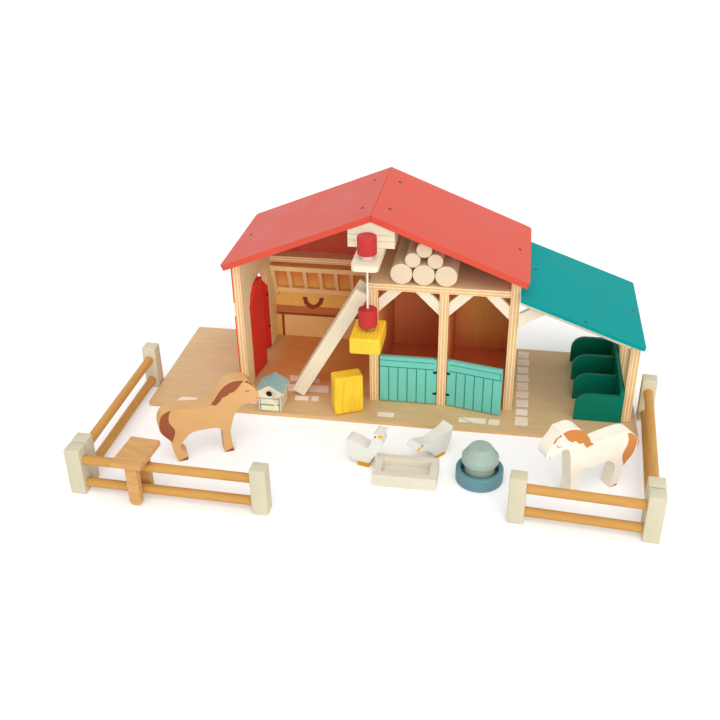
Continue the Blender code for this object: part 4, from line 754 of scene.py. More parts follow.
class TOYFARM_OT_woodwork(bpy.types.Operator):
    """Gives the base board, walls, loft, beams, braces, ladder, hay rack and trough their wood"""
    bl_idname = "toyfarm.woodwork"
    bl_label = "Board, walls and loft"

    def execute(self, context):
        c = colours()
        bay_left, bay_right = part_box("left_wall")[1].x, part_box("partition")[0].x
        stable_left, stable_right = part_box("partition")[1].x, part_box("right_wall")[0].x
        middle = centre_of("middle_partition").x
        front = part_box("right_wall")[0].y
        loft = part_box("loft_board")[1].z
        # Painted shade with warm bounce on the board's floor inside the tall bay and inside the stables
        floor_zones = (
            ((bay_left, front - 12 * MM, 0), (bay_right, FAR, FAR), (20 * MM, 50 * MM, MM),
             srgb(230, 158, 92)),
            ((stable_left, front + MM, 0), (stable_right, FAR, FAR), (4 * MM, 6 * MM, MM), c.stable_stain))
        assign(wood("board_wood", c.board, roughness=0.42, contrast=0.5, fineness=0.8,
                    ply=ply_for("base_board", 2, 1.0 * MM), zones=floor_zones), "base_board")
        deep = front + 1.5 * MM
        # Painted light on the left wall's inner face, where little lamp light falls, and painted shade with
        # warm bounce on the inner faces of the stable walls
        inner = {"left_wall": ((bay_left - MM, deep, 0), (FAR, FAR, FAR), CRISP, srgb(255, 236, 188)),
                 "partition": ((stable_left - MM, deep, 0), (FAR, FAR, loft), CRISP, c.stable_stain),
                 "middle_partition": ((-FAR, deep, 0), (FAR, FAR, loft), CRISP, c.stable_stain),
                 "right_wall": ((-FAR, deep, 0), (stable_right + MM, FAR, loft), CRISP, c.stable_stain)}
        for node in ("left_wall", "right_wall", "partition", "middle_partition", "lean_to_end_wall"):
            assign(wood(node + "_ply", c.ply, heading="Z", contrast=0.6, ply=ply_for(node, 0),
                        zones=[inner[node]] if node in inner else ()), node)
        for node in ("loft_board", "hay_shelf"):
            assign(wood(node + "_ply", c.ply, contrast=0.6, ply=ply_for(node, 2)), node)
        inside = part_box("back_wall")[0].y
        # On the back wall: painted shade with warm bounce inside the bay and the stables, painted golden
        # light on the bay's lower left, over the right stable and above the loft, and a painted red
        # reflection of the roof with shade above the hay shelf
        wall_zones = [((x0, inside - MM, z0), (x1, inside + MM, z1), (blur, CRISP, blur), colour)
                      for x0, z0, x1, z1, blur, colour in (
            (bay_left - 9 * MM, 0, bay_right + 5 * MM, loft, CRISP, c.bay_stain),
            (bay_left - 60 * MM, -60 * MM, bay_right - 20 * MM, loft - 56 * MM, 16 * MM, c.golden_stain),
            (stable_left - 5 * MM, 0, middle, loft - 4 * MM, CRISP, c.stable_stain),
            (middle, 0, stable_right + 5 * MM, loft - 4 * MM, CRISP, c.stable_stain),
            (middle + 2 * MM, 2 * MM, stable_right + 30 * MM, loft + 30 * MM, 26 * MM, c.golden_stain),
            (stable_left - 9 * MM, loft - 3 * MM, FAR, FAR, CRISP, c.golden_stain),
            (-FAR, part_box("hay_shelf")[1].z, stable_left - 9 * MM, FAR, CRISP, srgb(206, 84, 62)))]
        assign(wood("back_wall_ply", c.ply, heading="Z", contrast=0.5, fineness=0.7,
                    ply=ply_for("back_wall", 1, 1.2 * MM), zones=wall_zones), "back_wall")
        for number in (1, 2, 3, 4):
            slant = SLANT if number % 2 else -SLANT
            assign(wood("brace_wood_%d" % number, c.cream, heading=(0, slant, 0), contrast=0.28),
                   "stable_brace_%d" % number)
        for name, colour, lean, contrast, nodes in (
                ("cream_along", c.cream, 0, 0.28, ("rafter_front", "rafter_rear", "ridge_beam", "hoist_arm")),
                ("lean_brace_wood", c.cream, SLANT, 0.28, ("lean_to_brace_front", "lean_to_brace_rear")),
                ("hay_rack_wood", srgb(255, 214, 156), 0, 0.5, ("hay_rack",)),
                ("ladder_wood", c.cream, LADDER_SLANT, 0.4, ("ladder",)),
                ("trough_wood", srgb(220, 212, 192), 0, 0.3, ("trough",))):
            assign(wood(name, colour, heading=(0, lean, 0), contrast=contrast), *nodes)
        return {"FINISHED"}


# Roofs

ROOF_SCREWS = {"roof_left": ((95.8, 97.6), (219.9, 141), (219.8, 60.2)),
               "roof_right": ((246.4, 138), (246.8, 61), (372.8, 99)),
               "lean_to_roof": ((390.3, 103.8), (490.8, 97.8), (438.8, 28.6))}
SCREW_SIDES = 24
# Shares of the radius, and heights in millimetres
SCREW_PROFILE = ((1, -0.3), (1, 0.05), (0.8, 0.22), (0.45, 0.26), (0.2, 0.27))
RECESS = 0.35 * MM


def screw_head():
    """A domed screw head with a cross recess."""
    radius = sizes().screw_radius
    bm = bmesh.new()
    rings = []
    for i, (share, height) in enumerate(SCREW_PROFILE):
        rings.append([])
        for k, (x, y) in enumerate(round_spots((0, 0), radius * share, SCREW_SIDES)):
            z = height * MM
            if i > 2 and k % (SCREW_SIDES // 4) == 0:
                z -= RECESS
            rings[-1].append(bm.verts.new((x, y, z)))
    add_skin(bm, rings)
    bm.faces.new(rings[0][::-1])
    top = bm.verts.new((0, 0, -0.12 * MM))
    for k in range(SCREW_SIDES):
        bm.faces.new((rings[-1][k], rings[-1][(k + 1) % SCREW_SIDES], top))
    mesh = bpy.data.meshes.new("screw_head")
    bm.to_mesh(mesh)
    bm.free()
    return link(bpy.data.objects.new("screw_head", mesh))


def roof_plane(node):
    """A point on a roof board's upper face and its normal."""
    best = max(NODES[node].data.polygons, key=lambda p: p.area * max(p.normal.z, 0))
    return best.center.copy(), best.normal.copy()


class TOYFARM_OT_roofs(bpy.types.Operator):
    """Paints the three roof boards and sets the screws in them"""
    bl_idname = "toyfarm.roofs"
    bl_label = "Roofs and screws"

    def execute(self, context):
        c = colours()
        for node, colour, gloss in (("roof_left", c.roof_red, 0.25), ("roof_right", c.roof_red, 0.25),
                                    ("lean_to_roof", c.roof_teal, 0.03)):
            assign(paint(node + "_paint", colour, 0.4, "X", 0.05, gloss=gloss), node)
        steel = metal("screw_steel", srgb(84, 66, 62), 0.4)
        screw = screw_head()
        tree = shared("Screw pattern", make_screw_pattern)
        for node, places in ROOF_SCREWS.items():
            point, normal = roof_plane(node)
            turn = UP.rotation_difference(normal).to_matrix().to_4x4()
            matrix = Matrix.Translation(point) @ turn
            back = matrix.inverted()
            points = [back @ on_slope(BOARD_CORNER.x + x * MM, BOARD_CORNER.y + y * MM, point, normal)
                      for x, y in places]
            mesh = grown(node + "_screws", tree, {"Screw": screw, "Material": steel}, points)
            mesh.transform(matrix)
            place_mesh(node + "_screws", mesh, "barn")
        bpy.data.objects.remove(screw)
        return {"FINISHED"}


# Prints on the board and on the back wall, in millimetres from the board's front left corner

PAVING_STONES = (
    ((134, 75.3), (148, 75.5), (151, 64.5), (138, 64.2)),
    ((155.5, 72.2), (169.2, 72.2), (170, 63.6), (156.5, 63)),
    ((137.5, 56.6), (158, 58), (158.5, 44.4), (139.4, 43.6)),
    ((161, 58.2), (181, 59.4), (183, 45.6), (162, 44.8)),
    ((150, 35), (164.5, 36), (165.4, 27.6), (150.7, 27.2)),
    ((167.2, 37), (174.7, 37.5), (176.3, 28.2), (168.5, 27.8)),
    ((28.2, 7.7), (31, 16), (48.9, 16.5), (48.3, 12.3)),
    ((103.1, 20.3), (112.5, 20), (113.4, 13.4), (106.7, 14.1)),
    ((241, 16.8), (258, 17.4), (258, 9), (241.4, 8.8)), ((324.2, 18.9), (335.1, 11.2), (323.9, 10.3)),
    ((325.6, 19.3), (351, 20.2), (350.9, 9.8), (338.2, 10.9)),
    ((354.1, 19.5), (364.9, 20), (364.7, 10), (353.5, 10.2)))
PINK_STONES = (((231.2, 19.6), (233.9, 20), (235.2, 9.9), (232.4, 9.5)),)
PAVED_STRIP_PLACE = (386.5, 20.5)
PAVED_STRIP_STONES = 9
PAVED_STRIP_WIDTH = 12.5 * MM
PAVED_STRIP_LENGTH = 15.5 * MM
PAVED_STRIP_SEED = 4

HORSESHOE = (
    (131.2, 52.2), (132.7, 43.8), (137.2, 38.6), (143.2, 37), (149.4, 39.6), (154.3, 45.3), (156.5, 52.3),
    (151.3, 52.4), (150.4, 48.4), (147.6, 44.4), (144, 42.6), (140.4, 43.4), (137.5, 46.6), (136.6, 52.2))
# Paint number, 0 light, 1 red or 2 dark, then two opposite corners
WALL_BANDS = ((0, 108.2, 0.4, 229, 27.8), (1, 99.6, 31.2, 229, 40.2), (2, 99.6, 28, 229, 31),
              (2, 105.2, 0.4, 108, 28))


class TOYFARM_OT_prints(bpy.types.Operator):
    """Prints the paving on the board and the panels and horseshoe on the back wall"""
    bl_idname = "toyfarm.prints"
    bl_label = "Printed paving and wall"

    def execute(self, context):
        c = colours()
        proud = sizes().print_proud
        stone = wood("paving_print", c.paving, srgb(226, 190, 168), contrast=0.7)
        pink = wood("pink_print", srgb(232, 178, 150), contrast=0.7)
        bm = bmesh.new()
        for index, group in enumerate((PAVING_STONES, PINK_STONES)):
            for points in group:
                places = [BOARD_CORNER + Vector((x, y, 0)) * MM for x, y in points]
                add_slab(bm, places, UP, proud, index)
        finish_piece("paving_stones", bm, [stone, pink], "barn", smooth=False)

        mesh = grown("paved_strip", shared("Paving row", make_paving_row),
                     {"Count": PAVED_STRIP_STONES, "Pitch": sizes().paving_pitch,
                      "Width": PAVED_STRIP_WIDTH, "Length": PAVED_STRIP_LENGTH, "Depth": proud + SINK,
                      "Seed": PAVED_STRIP_SEED, "Material": stone})
        x, y = PAVED_STRIP_PLACE
        mesh.transform(Matrix.Translation(BOARD_CORNER + Vector((x * MM, y * MM, (proud - SINK) / 2))))
        place_mesh("paved_strip", mesh, "barn", smooth=False)

        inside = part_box("back_wall")[0].y
        mats = [wood("panel_print", srgb(255, 208, 138), heading="Z", contrast=0.4),
                wood("red_print", srgb(212, 126, 74), contrast=0.6),
                wood("dark_print", c.print_brown, contrast=0.5)]

        def on_wall(x, z):
            return Vector((BOARD_CORNER.x + x * MM, inside, BOARD_TOP + z * MM))
        bm = bmesh.new()
        for index, *corners in WALL_BANDS:
            add_slab(bm, rectangle(on_wall, *corners), FRONT, proud, index)
        add_slab(bm, [on_wall(x, z) for x, z in HORSESHOE], FRONT, 2 * proud, 2)
        finish_piece("wall_prints", bm, mats, "barn", smooth=False)
        return {"FINISHED"}


# Doors

DOOR_HALF = 2 * MM
STABLE_DOOR_HEIGHT = 52.5 * MM
STABLE_DOOR_TURNS = {"left": math.pi, "right": -math.radians(12.9)}
PLANK_LINES = 5
# Each line's distance below the door's top and its width, in millimetres
BAND_LINES = ((4.4, 0.85), (11.8, 1.1))
BAND_LINE_START = 1.0 * MM
BAND_LINE_END = 0.3 * MM
# The line that closes the band stands this far from the free edge
BAND_CLOSING = {"right": 1.3 * MM}
CLOSING_WIDTH = 0.9 * MM
# Lines that cross stand proud of each other by this much
STEP = 0.02 * MM


class TOYFARM_OT_stable_doors(bpy.types.Operator):
    """Paints the stable doors and all door hinges, and draws the doors' plank lines"""
    bl_idname = "toyfarm.stable_doors"
    bl_label = "Stable doors"

    def execute(self, context):
        c = colours()
        s = sizes()
        line_paint = paint("plank_line_paint", c.line_aqua, 0.4, "Z")
        tree = shared("Plank lines", make_plank_lines)
        depth = s.print_proud + SINK
        planks_top = STABLE_DOOR_HEIGHT - BAND_LINES[1][0] * MM
        for side, turn in STABLE_DOOR_TURNS.items():
            node = "stable_door_" + side
            assign(paint(node + "_paint", c.door_aqua, 0.4, "Z", 0.05), node)
            pin = Vector(JOINTS[node + "_hinge"]["pos_m"])
            matrix = Matrix.Translation(pin) @ Matrix.Rotation(turn, 4, "Z")
            back = matrix.inverted()
            width = max((back @ vert.co).x for vert in NODES[node].data.vertices)
            bm = bmesh.new()
            for front in (1, -1):
                face = front * (DOOR_HALF + (s.print_proud - SINK) / 2)
                mesh = grown(node + "_lines", tree,
                             {"Count": PLANK_LINES, "Pitch": s.plank_pitch, "Width": s.line_width,
                              "Height": planks_top, "Depth": depth, "Material": line_paint})
                first = (width - (PLANK_LINES - 1) * s.plank_pitch) / 2
                mesh.transform(Matrix.Translation((first, face, planks_top / 2)))
                bm.from_mesh(mesh)
                bpy.data.meshes.remove(mesh)
                start, end = BAND_LINE_START, width - BAND_LINE_END
                for below, thick in BAND_LINES:
                    add_bar(bm, (end - start, depth + STEP, thick * MM),
                            ((start + end) / 2, face, STABLE_DOOR_HEIGHT - below * MM))
                if side in BAND_CLOSING:
                    high, low = (STABLE_DOOR_HEIGHT - below * MM for below, _ in BAND_LINES)
                    add_bar(bm, (CLOSING_WIDTH, depth + 2 * STEP, high - low),
                            (width - BAND_CLOSING[side], face, (high + low) / 2))
            finish_piece(node + "_lines", bm, [line_paint], node, smooth=False, matrix=matrix)
        black = metal("hinge_black", srgb(36, 36, 40), 0.42, 0.5)
        assign(black, "stable_hinge_left", "stable_hinge_right", "barn_hinge_front", "barn_hinge_rear")
        return {"FINISHED"}


# The cream band's lower and upper edge, and the paint's reach over the front edge
WALL_BAND = 93 * MM, 108 * MM
PAINT_OVERLAP = 1.1 * MM


class TOYFARM_OT_barn_doors(bpy.types.Operator):
    """Paints the two leaves of the arched doorway and the wall outside them"""
    bl_idname = "toyfarm.barn_doors"
    bl_label = "Barn doors"

    def execute(self, context):
        c = colours()
        for node in ("barn_door_front", "barn_door_rear"):
            assign(paint(node + "_paint", c.door_red, 0.4, "Z", 0.06), node)
        outside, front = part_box("left_wall")[0].xy
        bm = node_mesh("left_wall")
        inner = [f for f in bm.faces
                 if not (f.normal.x < -0.99 and abs(f.calc_center_median().x - outside) < 0.1 * MM)]
        bmesh.ops.delete(bm, geom=inner, context="FACES")
        low, high = WALL_BAND
        top = max(v.co.z for v in bm.verts)
        for height in WALL_BAND:
            cut(bm, (0, 0, height), UP)
        for face in bm.faces:
            face.material_index = 1 if low < face.calc_center_median().z < high else 0
        proud = sizes().print_proud
        bmesh.ops.translate(bm, vec=(SINK, 0, 0), verts=bm.verts)
        shell = bmesh.ops.extrude_face_region(bm, geom=bm.faces[:])
        moved = [item for item in shell["geom"] if isinstance(item, bmesh.types.BMVert)]
        bmesh.ops.translate(bm, vec=(-proud - SINK, 0, 0), verts=moved)

        def on_edge(x, z):
            return Vector((x, front, z))
        for index, bottom, end in ((0, BOARD_TOP, low), (1, low, high), (0, high, top)):
            edge = rectangle(on_edge, outside - proud, bottom, outside + PAINT_OVERLAP, end)
            add_slab(bm, edge, FRONT, proud, index)
        mats = [paint("wall_red_paint", c.door_red, 0.42, "Z", 0.06),
                paint("wall_cream_paint", c.cream, 0.45, "Z", 0.04)]
        finish_piece("left_wall_paint", bm, mats, "barn", smooth=False)
        return {"FINISHED"}


# Hoist

CORD_SIDES = 24
CORD_STEP = 0.35 * MM
CORD_LAY = 5.5 * MM
CORD_STRANDS = 3
# The radius between two strands, as a share of the whole
CORD_VALLEY = 0.72


def across(node):
    """Half a node's width, and its height."""
    low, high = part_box(node)
    return (high.x - low.x) / 2, high.z - low.z


def knob_profile(radius, height, edge):
    centre = radius - edge
    return ([(0, 0)] + arc((centre, edge), edge, -90, 0) + arc((centre, height - edge), edge, 0, 90)
            + [(0, height)])


def add_cord(bm, top, length, radius):
    """Twisted strands drawn as one closed body that hangs from a point."""
    steps = int(length / CORD_STEP)
    rings = []
    for i in range(steps + 1):
        z = -length * i / steps
        turn = math.tau * z / CORD_LAY
        ring = []
        for k in range(CORD_SIDES):
            angle = math.tau * k / CORD_SIDES
            bulge = abs(math.cos(CORD_STRANDS / 2 * (angle + turn)))
            r = radius * (CORD_VALLEY + (1 - CORD_VALLEY) * bulge)
            ring.append(bm.verts.new(top + Vector((r * math.cos(angle), r * math.sin(angle), z))))
        rings.append(ring)
    add_skin(bm, rings[::-1])
    bm.faces.new(rings[0])
    bm.faces.new(rings[-1][::-1])


class TOYFARM_OT_hoist(bpy.types.Operator):
    """Turns the knob, the weight, the bush and the magnet, and lays the cord"""
    bl_idname = "toyfarm.hoist"
    bl_label = "Hoist"

    def execute(self, context):
        red = paint("knob_paint", colours().knob_red, 0.38, "Z", 0.08)
        for node in ("hoist_knob", "hoist_weight"):
            radius, height = across(node)
            turned_piece(node, knob_profile(radius, height, 1.3 * MM), red, "hoist")
        low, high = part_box("hoist_bush")
        arm_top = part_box("hoist_arm")[1].z
        bore, shank, flange, bottom, crown = 1.6 * MM, 3.2 * MM, 6.3 * MM, low.z - arm_top, high.z - arm_top
        profile = [(bore, bottom), (shank, bottom), (shank, 0.3 * MM), (flange - 0.3 * MM, 0.3 * MM),
                   *arc((flange - 0.6 * MM, 0.9 * MM), 0.6 * MM, -60, 90, 5), (5 * MM, 1.7 * MM),
                   *arc((3.4 * MM, crown - 1.1 * MM), 1.1 * MM, 0, 90, 5),
                   (bore + 0.5 * MM, crown), (bore, crown - 0.5 * MM)]
        white = paint("bush_plastic", srgb(244, 240, 232), 0.3, "Z", 0.02, 0.01)
        turned_piece("hoist_bush", profile, white, "barn", base=arm_top)
        radius, height = across("bale_magnet")
        profile = [(0, 0), (radius - 0.4 * MM, 0), *arc((radius - 0.5 * MM, 0.5 * MM), 0.5 * MM, -60, 0, 3),
                   *arc((radius - 0.8 * MM, height - 0.8 * MM), 0.8 * MM, 0, 90, 4),
                   (radius * 0.45, height), (radius * 0.35, height - 0.5 * MM), (0, height - 0.5 * MM)]
        steel = metal("magnet_steel", srgb(186, 186, 188), 0.16)
        turned_piece("bale_magnet", profile, steel, "hoist", 48)

        radius, length = across("hoist_cord")
        centre = centre_of("hoist_cord")
        top = Vector((centre.x, centre.y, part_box("hoist_cord")[1].z))
        bm = bmesh.new()
        add_cord(bm, top, length, radius)
        skin = Finish("cotton", "Z")
        fuzz = skin.noise(skin.along, 3200, 3, stretch=0.4)
        fibre = skin.finished(skin.mix(fuzz, srgb(226, 218, 204), srgb(252, 249, 242)), 0.9, fuzz, 0.1)
        cord = finish_piece("hoist_cord_twisted", bm, [fibre], "hoist", ["hoist_cord"])
        return {"FINISHED"}


# Bales

BALE = Vector((30, 43, 17)) * MM
BALE_CELL = 0.8 * MM
BALE_EDGE = 2.4 * MM
BALE_GROOVES = 7
BALE_TURN = math.radians(24.8)
# How far the grooves sway to each side, over what length along Y, and over what length across it
WIDE_SWAY = 0.55 * MM, 6.5 * MM
NARROW_SWAY = 0.35 * MM, 2.9 * MM, 4 * MM
# A groove's share of its pitch, and its end, over which it grows shallow down to a share of its depth
GROOVE_SHARE = 0.42
GROOVE_END = 1.4 * MM
SHALLOW = 0.35
# The share of the bale's half height above which a face counts as wide
WIDE_FACE = 0.93


def bale_mesh(depth):
    """Rounded block with wavy grooves along Y pressed into both wide faces."""
    bm = bmesh.new()
    cells = [int(side / BALE_CELL) for side in BALE]
    half = BALE / 2
    seen = {}

    def vert(point):
        key = tuple(round(v / (0.001 * MM)) for v in point)
        if key not in seen:
            seen[key] = bm.verts.new(point)
        return seen[key]
    for axis, sign in product(range(3), (-1, 1)):
        a, b = [k for k in range(3) if k != axis]
        for i, j in product(range(cells[a]), range(cells[b])):
            corners = []
            for di, dj in ((0, 0), (1, 0), (1, 1), (0, 1)):
                point = [0.0, 0.0, 0.0]
                point[axis] = sign * half[axis]
                point[a] = (2 * (i + di) / cells[a] - 1) * half[a]
                point[b] = (2 * (j + dj) / cells[b] - 1) * half[b]
                corners.append(vert(point))
            bm.faces.new(corners)
    pitch = (BALE.x - 2 * BALE_EDGE) / BALE_GROOVES
    (wide, length), (narrow, short, slant) = WIDE_SWAY, NARROW_SWAY
    for v in bm.verts:
        x, y = v.co.xy
        reach = [side - BALE_EDGE for side in half]
        inner = Vector([max(-side, min(side, value)) for side, value in zip(reach, v.co)])
        away = v.co - inner
        if away.length > 0:
            v.co = inner + away.normalized() * BALE_EDGE
        sway = wide * math.sin(y / length) + narrow * math.sin(y / short + x / slant)
        phase = (x + sway + pitch / 2) / pitch
        ridge = abs(phase - round(phase)) * 2
        pressed = depth * (1 - min(ridge / GROOVE_SHARE, 1) ** 2)
        if abs(v.co.z) / half.z > WIDE_FACE and abs(x) < half.x - BALE_EDGE * 0.8:
            fade = min((half.y - abs(y)) / GROOVE_END, 1)
            v.co.z -= math.copysign(pressed * (SHALLOW + (1 - SHALLOW) * fade), v.co.z)
    return bm


class TOYFARM_OT_bales(bpy.types.Operator):
    """Makes both straw bales with wavy grooves"""
    bl_idname = "toyfarm.bales"
    bl_label = "Straw bales"

    def execute(self, context):
        straw = colours().straw
        depth = sizes().bale_groove
        on_end = Matrix.Rotation(BALE_TURN, 4, "Z") @ Matrix.Rotation(math.pi / 2, 4, "X")
        for node, heading, turn in (("hanging_bale", "Y", Matrix()), ("standing_bale", "Z", on_end)):
            skin = Finish(node + "_paint", heading)
            film = skin.group("Paint film", make_paint_film, {"Vector": skin.along})
            stalks = skin.noise(skin.along, 520, stretch=0.05)
            tone = skin.mix(film["Mottle"], shade(straw, 0.93), shade(straw, 1.08))
            tone = skin.mix(skin.remap(stalks, 0.48, 0.66, 0, 0.45), tone, srgb(230, 166, 10))
            mat = skin.finished(tone, 0.5, stalks, 0.08)
            finish_piece(node + "_grooved", bale_mesh(depth), [mat], node, [node],
                         matrix=Matrix.Translation(centre_of(node)) @ turn)
        return {"FINISHED"}


# Logs

LOG_EDGE = 0.45 * MM


def log_material(name, centre):
    """Bare beech whose ends show rings about the given centre."""
    beech = colours().beech
    skin = Finish(name, "Y")
    grain = skin.group("Wood grain", make_wood_grain, {"Vector": skin.along, "Fineness": 1.1})
    side = skin.mix(skin.times(grain["Streaks"], 0.4), beech, shade(beech, 0.78))
    heart = skin.add("ShaderNodeMapping", {"Vector": skin.place, "Scale": (1, 0, 1),
                                           "Location": (-centre.x - 2 * MM, 0, -centre.z - 3 * MM)})
    wobble = skin.times(skin.noise(skin.place, 150), 1.2 * MM)
    reach = skin.math("ADD", skin.vector("LENGTH", heart.outputs[0]), wobble)
    rings = skin.math("PINGPONG", skin.math("DIVIDE", reach, 1.1 * MM), 1)
    end = skin.mix(skin.times(skin.remap(rings, 0.55, 1.0), 0.14), shade(beech, 1.02), srgb(214, 176, 136))
    pores = skin.remap(skin.noise(skin.place, 1700), 0.5, 0.72, 0, 0.3)
    end = skin.mix(pores, end, srgb(206, 168, 130))
    is_end = skin.remap(skin.math("ABSOLUTE", skin.parts(skin.normal)[1]), 0.6, 0.8)
    return skin.finished(skin.mix(is_end, side, end), 0.62, grain["Streaks"], 0.05)


class TOYFARM_OT_logs(bpy.types.Operator):
    """Turns the six logs on the loft"""
    bl_idname = "toyfarm.logs"
    bl_label = "Logs"

    def execute(self, context):
        lie = Matrix.Rotation(-math.pi / 2, 4, "X")
        for kind in ("large", "small"):
            for number in (1, 2, 3):
                node = "%s_log_%d" % (kind, number)
                low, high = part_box(node)
                profile = knob_profile((high.z - low.z) / 2, high.y - low.y, LOG_EDGE)
                beech = log_material(node + "_beech", centre_of(node))
                turned_piece(node, profile, beech, node, 64, lie=lie)
        return {"FINISHED"}


# Lean-to

class TOYFARM_OT_lean_to(bpy.types.Operator):
    """Paints the storage rack"""
    bl_idname = "toyfarm.lean_to"
    bl_label = "Storage rack"

    def execute(self, context):
        assign(paint("rack_paint", colours().rack_green, 0.4, "X", 0.08, gloss=0.1), "storage_rack")
        return {"FINISHED"}


# Paddock

# Length in millimetres and turn in degrees
FENCES = {"left_fence": (186, -1.7), "left_side_fence": (186, 89.7), "right_fence": (128.4, -4.2),
          "right_side_fence": (186, 86.36)}
POST = Vector((14.5, 14.5, 47.5)) * MM
POST_EDGE = 1.1 * MM
RAIL_RADIUS = 4.4 * MM
# Shares of the post's height
RAIL_HEIGHTS = (0.2, 0.72)
STILE_TURN = math.radians(4.7)


class TOYFARM_OT_fences(bpy.types.Operator):
    """Makes the four fences and stains the stile over the left one"""
    bl_idname = "toyfarm.fences"
    bl_label = "Fences and stile"

    def execute(self, context):
        c = colours()
        for node, (length, degrees) in FENCES.items():
            turn = math.radians(degrees)
            centre = centre_of(node)
            matrix = Matrix.Translation((centre.x, centre.y, 0)) @ Matrix.Rotation(turn, 4, "Z")
            upright = wood(node + "_posts", c.post, srgb(206, 190, 150), "Z", 0.6, 0.5)
            rail = wood(node + "_rails", c.rail, srgb(176, 118, 52), (0, 0, -turn), 0.5, 0.6)
            reach = length * MM / 2 - POST.x / 2
            bm = bmesh.new()
            for side in (-1, 1):
                add_round_box(bm, POST, POST_EDGE, (side * reach, 0, POST.z / 2))
            for share in RAIL_HEIGHTS:
                profile = [(0, -reach), (RAIL_RADIUS, -reach), (RAIL_RADIUS, reach), (0, reach)]
                rod = add_turned(bm, profile, 40, 1)
                lie = Matrix.Translation((0, 0, POST.z * share)) @ Matrix.Rotation(math.pi / 2, 4, "Y")
                bmesh.ops.transform(bm, matrix=lie, verts=rod)
            finish_piece(node + "_turned", bm, [upright, rail], node, [node], matrix=matrix)
        assign(wood("stile_wood", c.stile, srgb(176, 122, 66), (0, 0, STILE_TURN), 0.48, 0.8, 0.8), "stile")
        return {"FINISHED"}


# Animals, cut out of board. Outlines are in millimetres along the front face and up from the floor.

BROWN_TAIL = (
    (13, 58.1), (9.4, 57.6), (5.9, 56.1), (3.4, 53.5), (2, 50.4), (1.2, 47.3), (0.9, 44), (0.9, 40.5),
    (1.6, 36.9), (3, 33.6), (5.3, 30.6), (7.5, 28), (9.3, 25.8), (10.5, 23.4), (11.4, 25.5), (13, 29.3),
    (14.1, 32.5), (14.5, 35.3), (13.8, 38.3), (12.2, 41.3), (10.5, 44.6), (9.8, 47.3), (10.1, 50.7),
    (10.9, 53.9), (11.8, 56.2))
BROWN_MANE = (
    (49.9, 56.4), (54.2, 62), (59.3, 69.2), (65.2, 74.6), (72, 77.4), (78.5, 77.4), (83.3, 76.5), (82, 74.9),
    (79.7, 72.9), (76.6, 69.1), (73.1, 66.6), (69.7, 65.5), (69, 66.5), (68, 64.5), (65.2, 63.2),
    (61.8, 62.1), (61.3, 62.8), (59.9, 59.3), (56.4, 56.2), (53.5, 54.9), (52.1, 56.5))
BROWN_FORELOCK = (
    (84.2, 74.4), (85.2, 76.2), (87.5, 74.6), (90.8, 70.3), (90.3, 69.6), (87.6, 72.4), (85.7, 73.5))
BROWN_EYE = ((84, 65.7), (84.7, 64.5), (85.7, 63.9), (86.8, 64.3), (87.5, 65.2))
WHITE_MANE = (
    (14, 75), (16.9, 76.6), (21.4, 77.3), (26.9, 76.3), (31.8, 74.4), (36.1, 71.3), (39.7, 67.4),
    (42.6, 63.4), (44.2, 59.7), (45.7, 57.3), (48.4, 54.9), (46.1, 54.3), (43.7, 54.1), (41.9, 53),
    (39.7, 54.9), (38.3, 56.9), (36.8, 59.4), (33.6, 59.5), (31, 61.4), (27.9, 64.3), (26.9, 63.1),
    (23.7, 64.3), (20.2, 67.3), (18, 70.3), (15.7, 73.7))
WHITE_FORELOCK = (
    (5.7, 67), (6.9, 70.2), (8.9, 72.4), (11.1, 73.8), (11.7, 75.2), (12.9, 74.5), (13.9, 72.2), (12.8, 72.2),
    (10.9, 71.9), (9.2, 70), (7.2, 67))
WHITE_EYE = ((9.3, 64.9), (10.3, 63), (12, 61.5), (13.5, 62), (14.4, 63.2))
WHITE_TAIL = (
    (84.1, 56.8), (88.8, 55.4), (92.6, 52.2), (95.2, 48.4), (95.9, 44.3), (95.4, 39.9), (94.2, 35.2),
    (92.4, 30.8), (89, 26.8), (86, 23.2), (84.9, 21.2), (83.6, 25), (82.1, 29.8), (81.8, 34.1), (83.2, 38.7),
    (85.4, 43.1), (86, 47.1), (85.7, 51.3), (84.3, 55))
# Where the hooves begin and end along the front face, and shares of the painted height
BROWN_HOOVES = ((13.5, 23.5, 1.1), (58.2, 68.5, 1.3))
WHITE_HOOVES = ((25.8, 34.2, 0.7), (71.6, 80.6, 0.75))
UPRIGHT_BEAK = (
    (33.3, 38.9), (35, 39.6), (37, 39.8), (38.2, 39.6), (37.3, 38.4), (36.4, 36.9), (35.3, 35.3),
    (34.2, 35.6), (33.4, 36.8))
FEEDING_BEAK = (
    (5.6, 23.2), (4, 23.4), (1.9, 22.5), (1, 21.6), (1.6, 20.6), (3.1, 19.8), (4.5, 20.3), (5.5, 21.4))


# Outline points nearer than this are one, and edges that turn less than this are flat
NEAR = 0.02 * MM
FLAT_ANGLE = math.radians(0.5)
EDGE_STEPS = 4
EDGE_SUPPORT = 0.35 * MM
# Keeps the corners of sharp turns from reaching far out
MITRE_LIMIT = 0.3
# Paint runs past the ends of a dipped foot by this many millimetres
DIP_MARGIN = 2


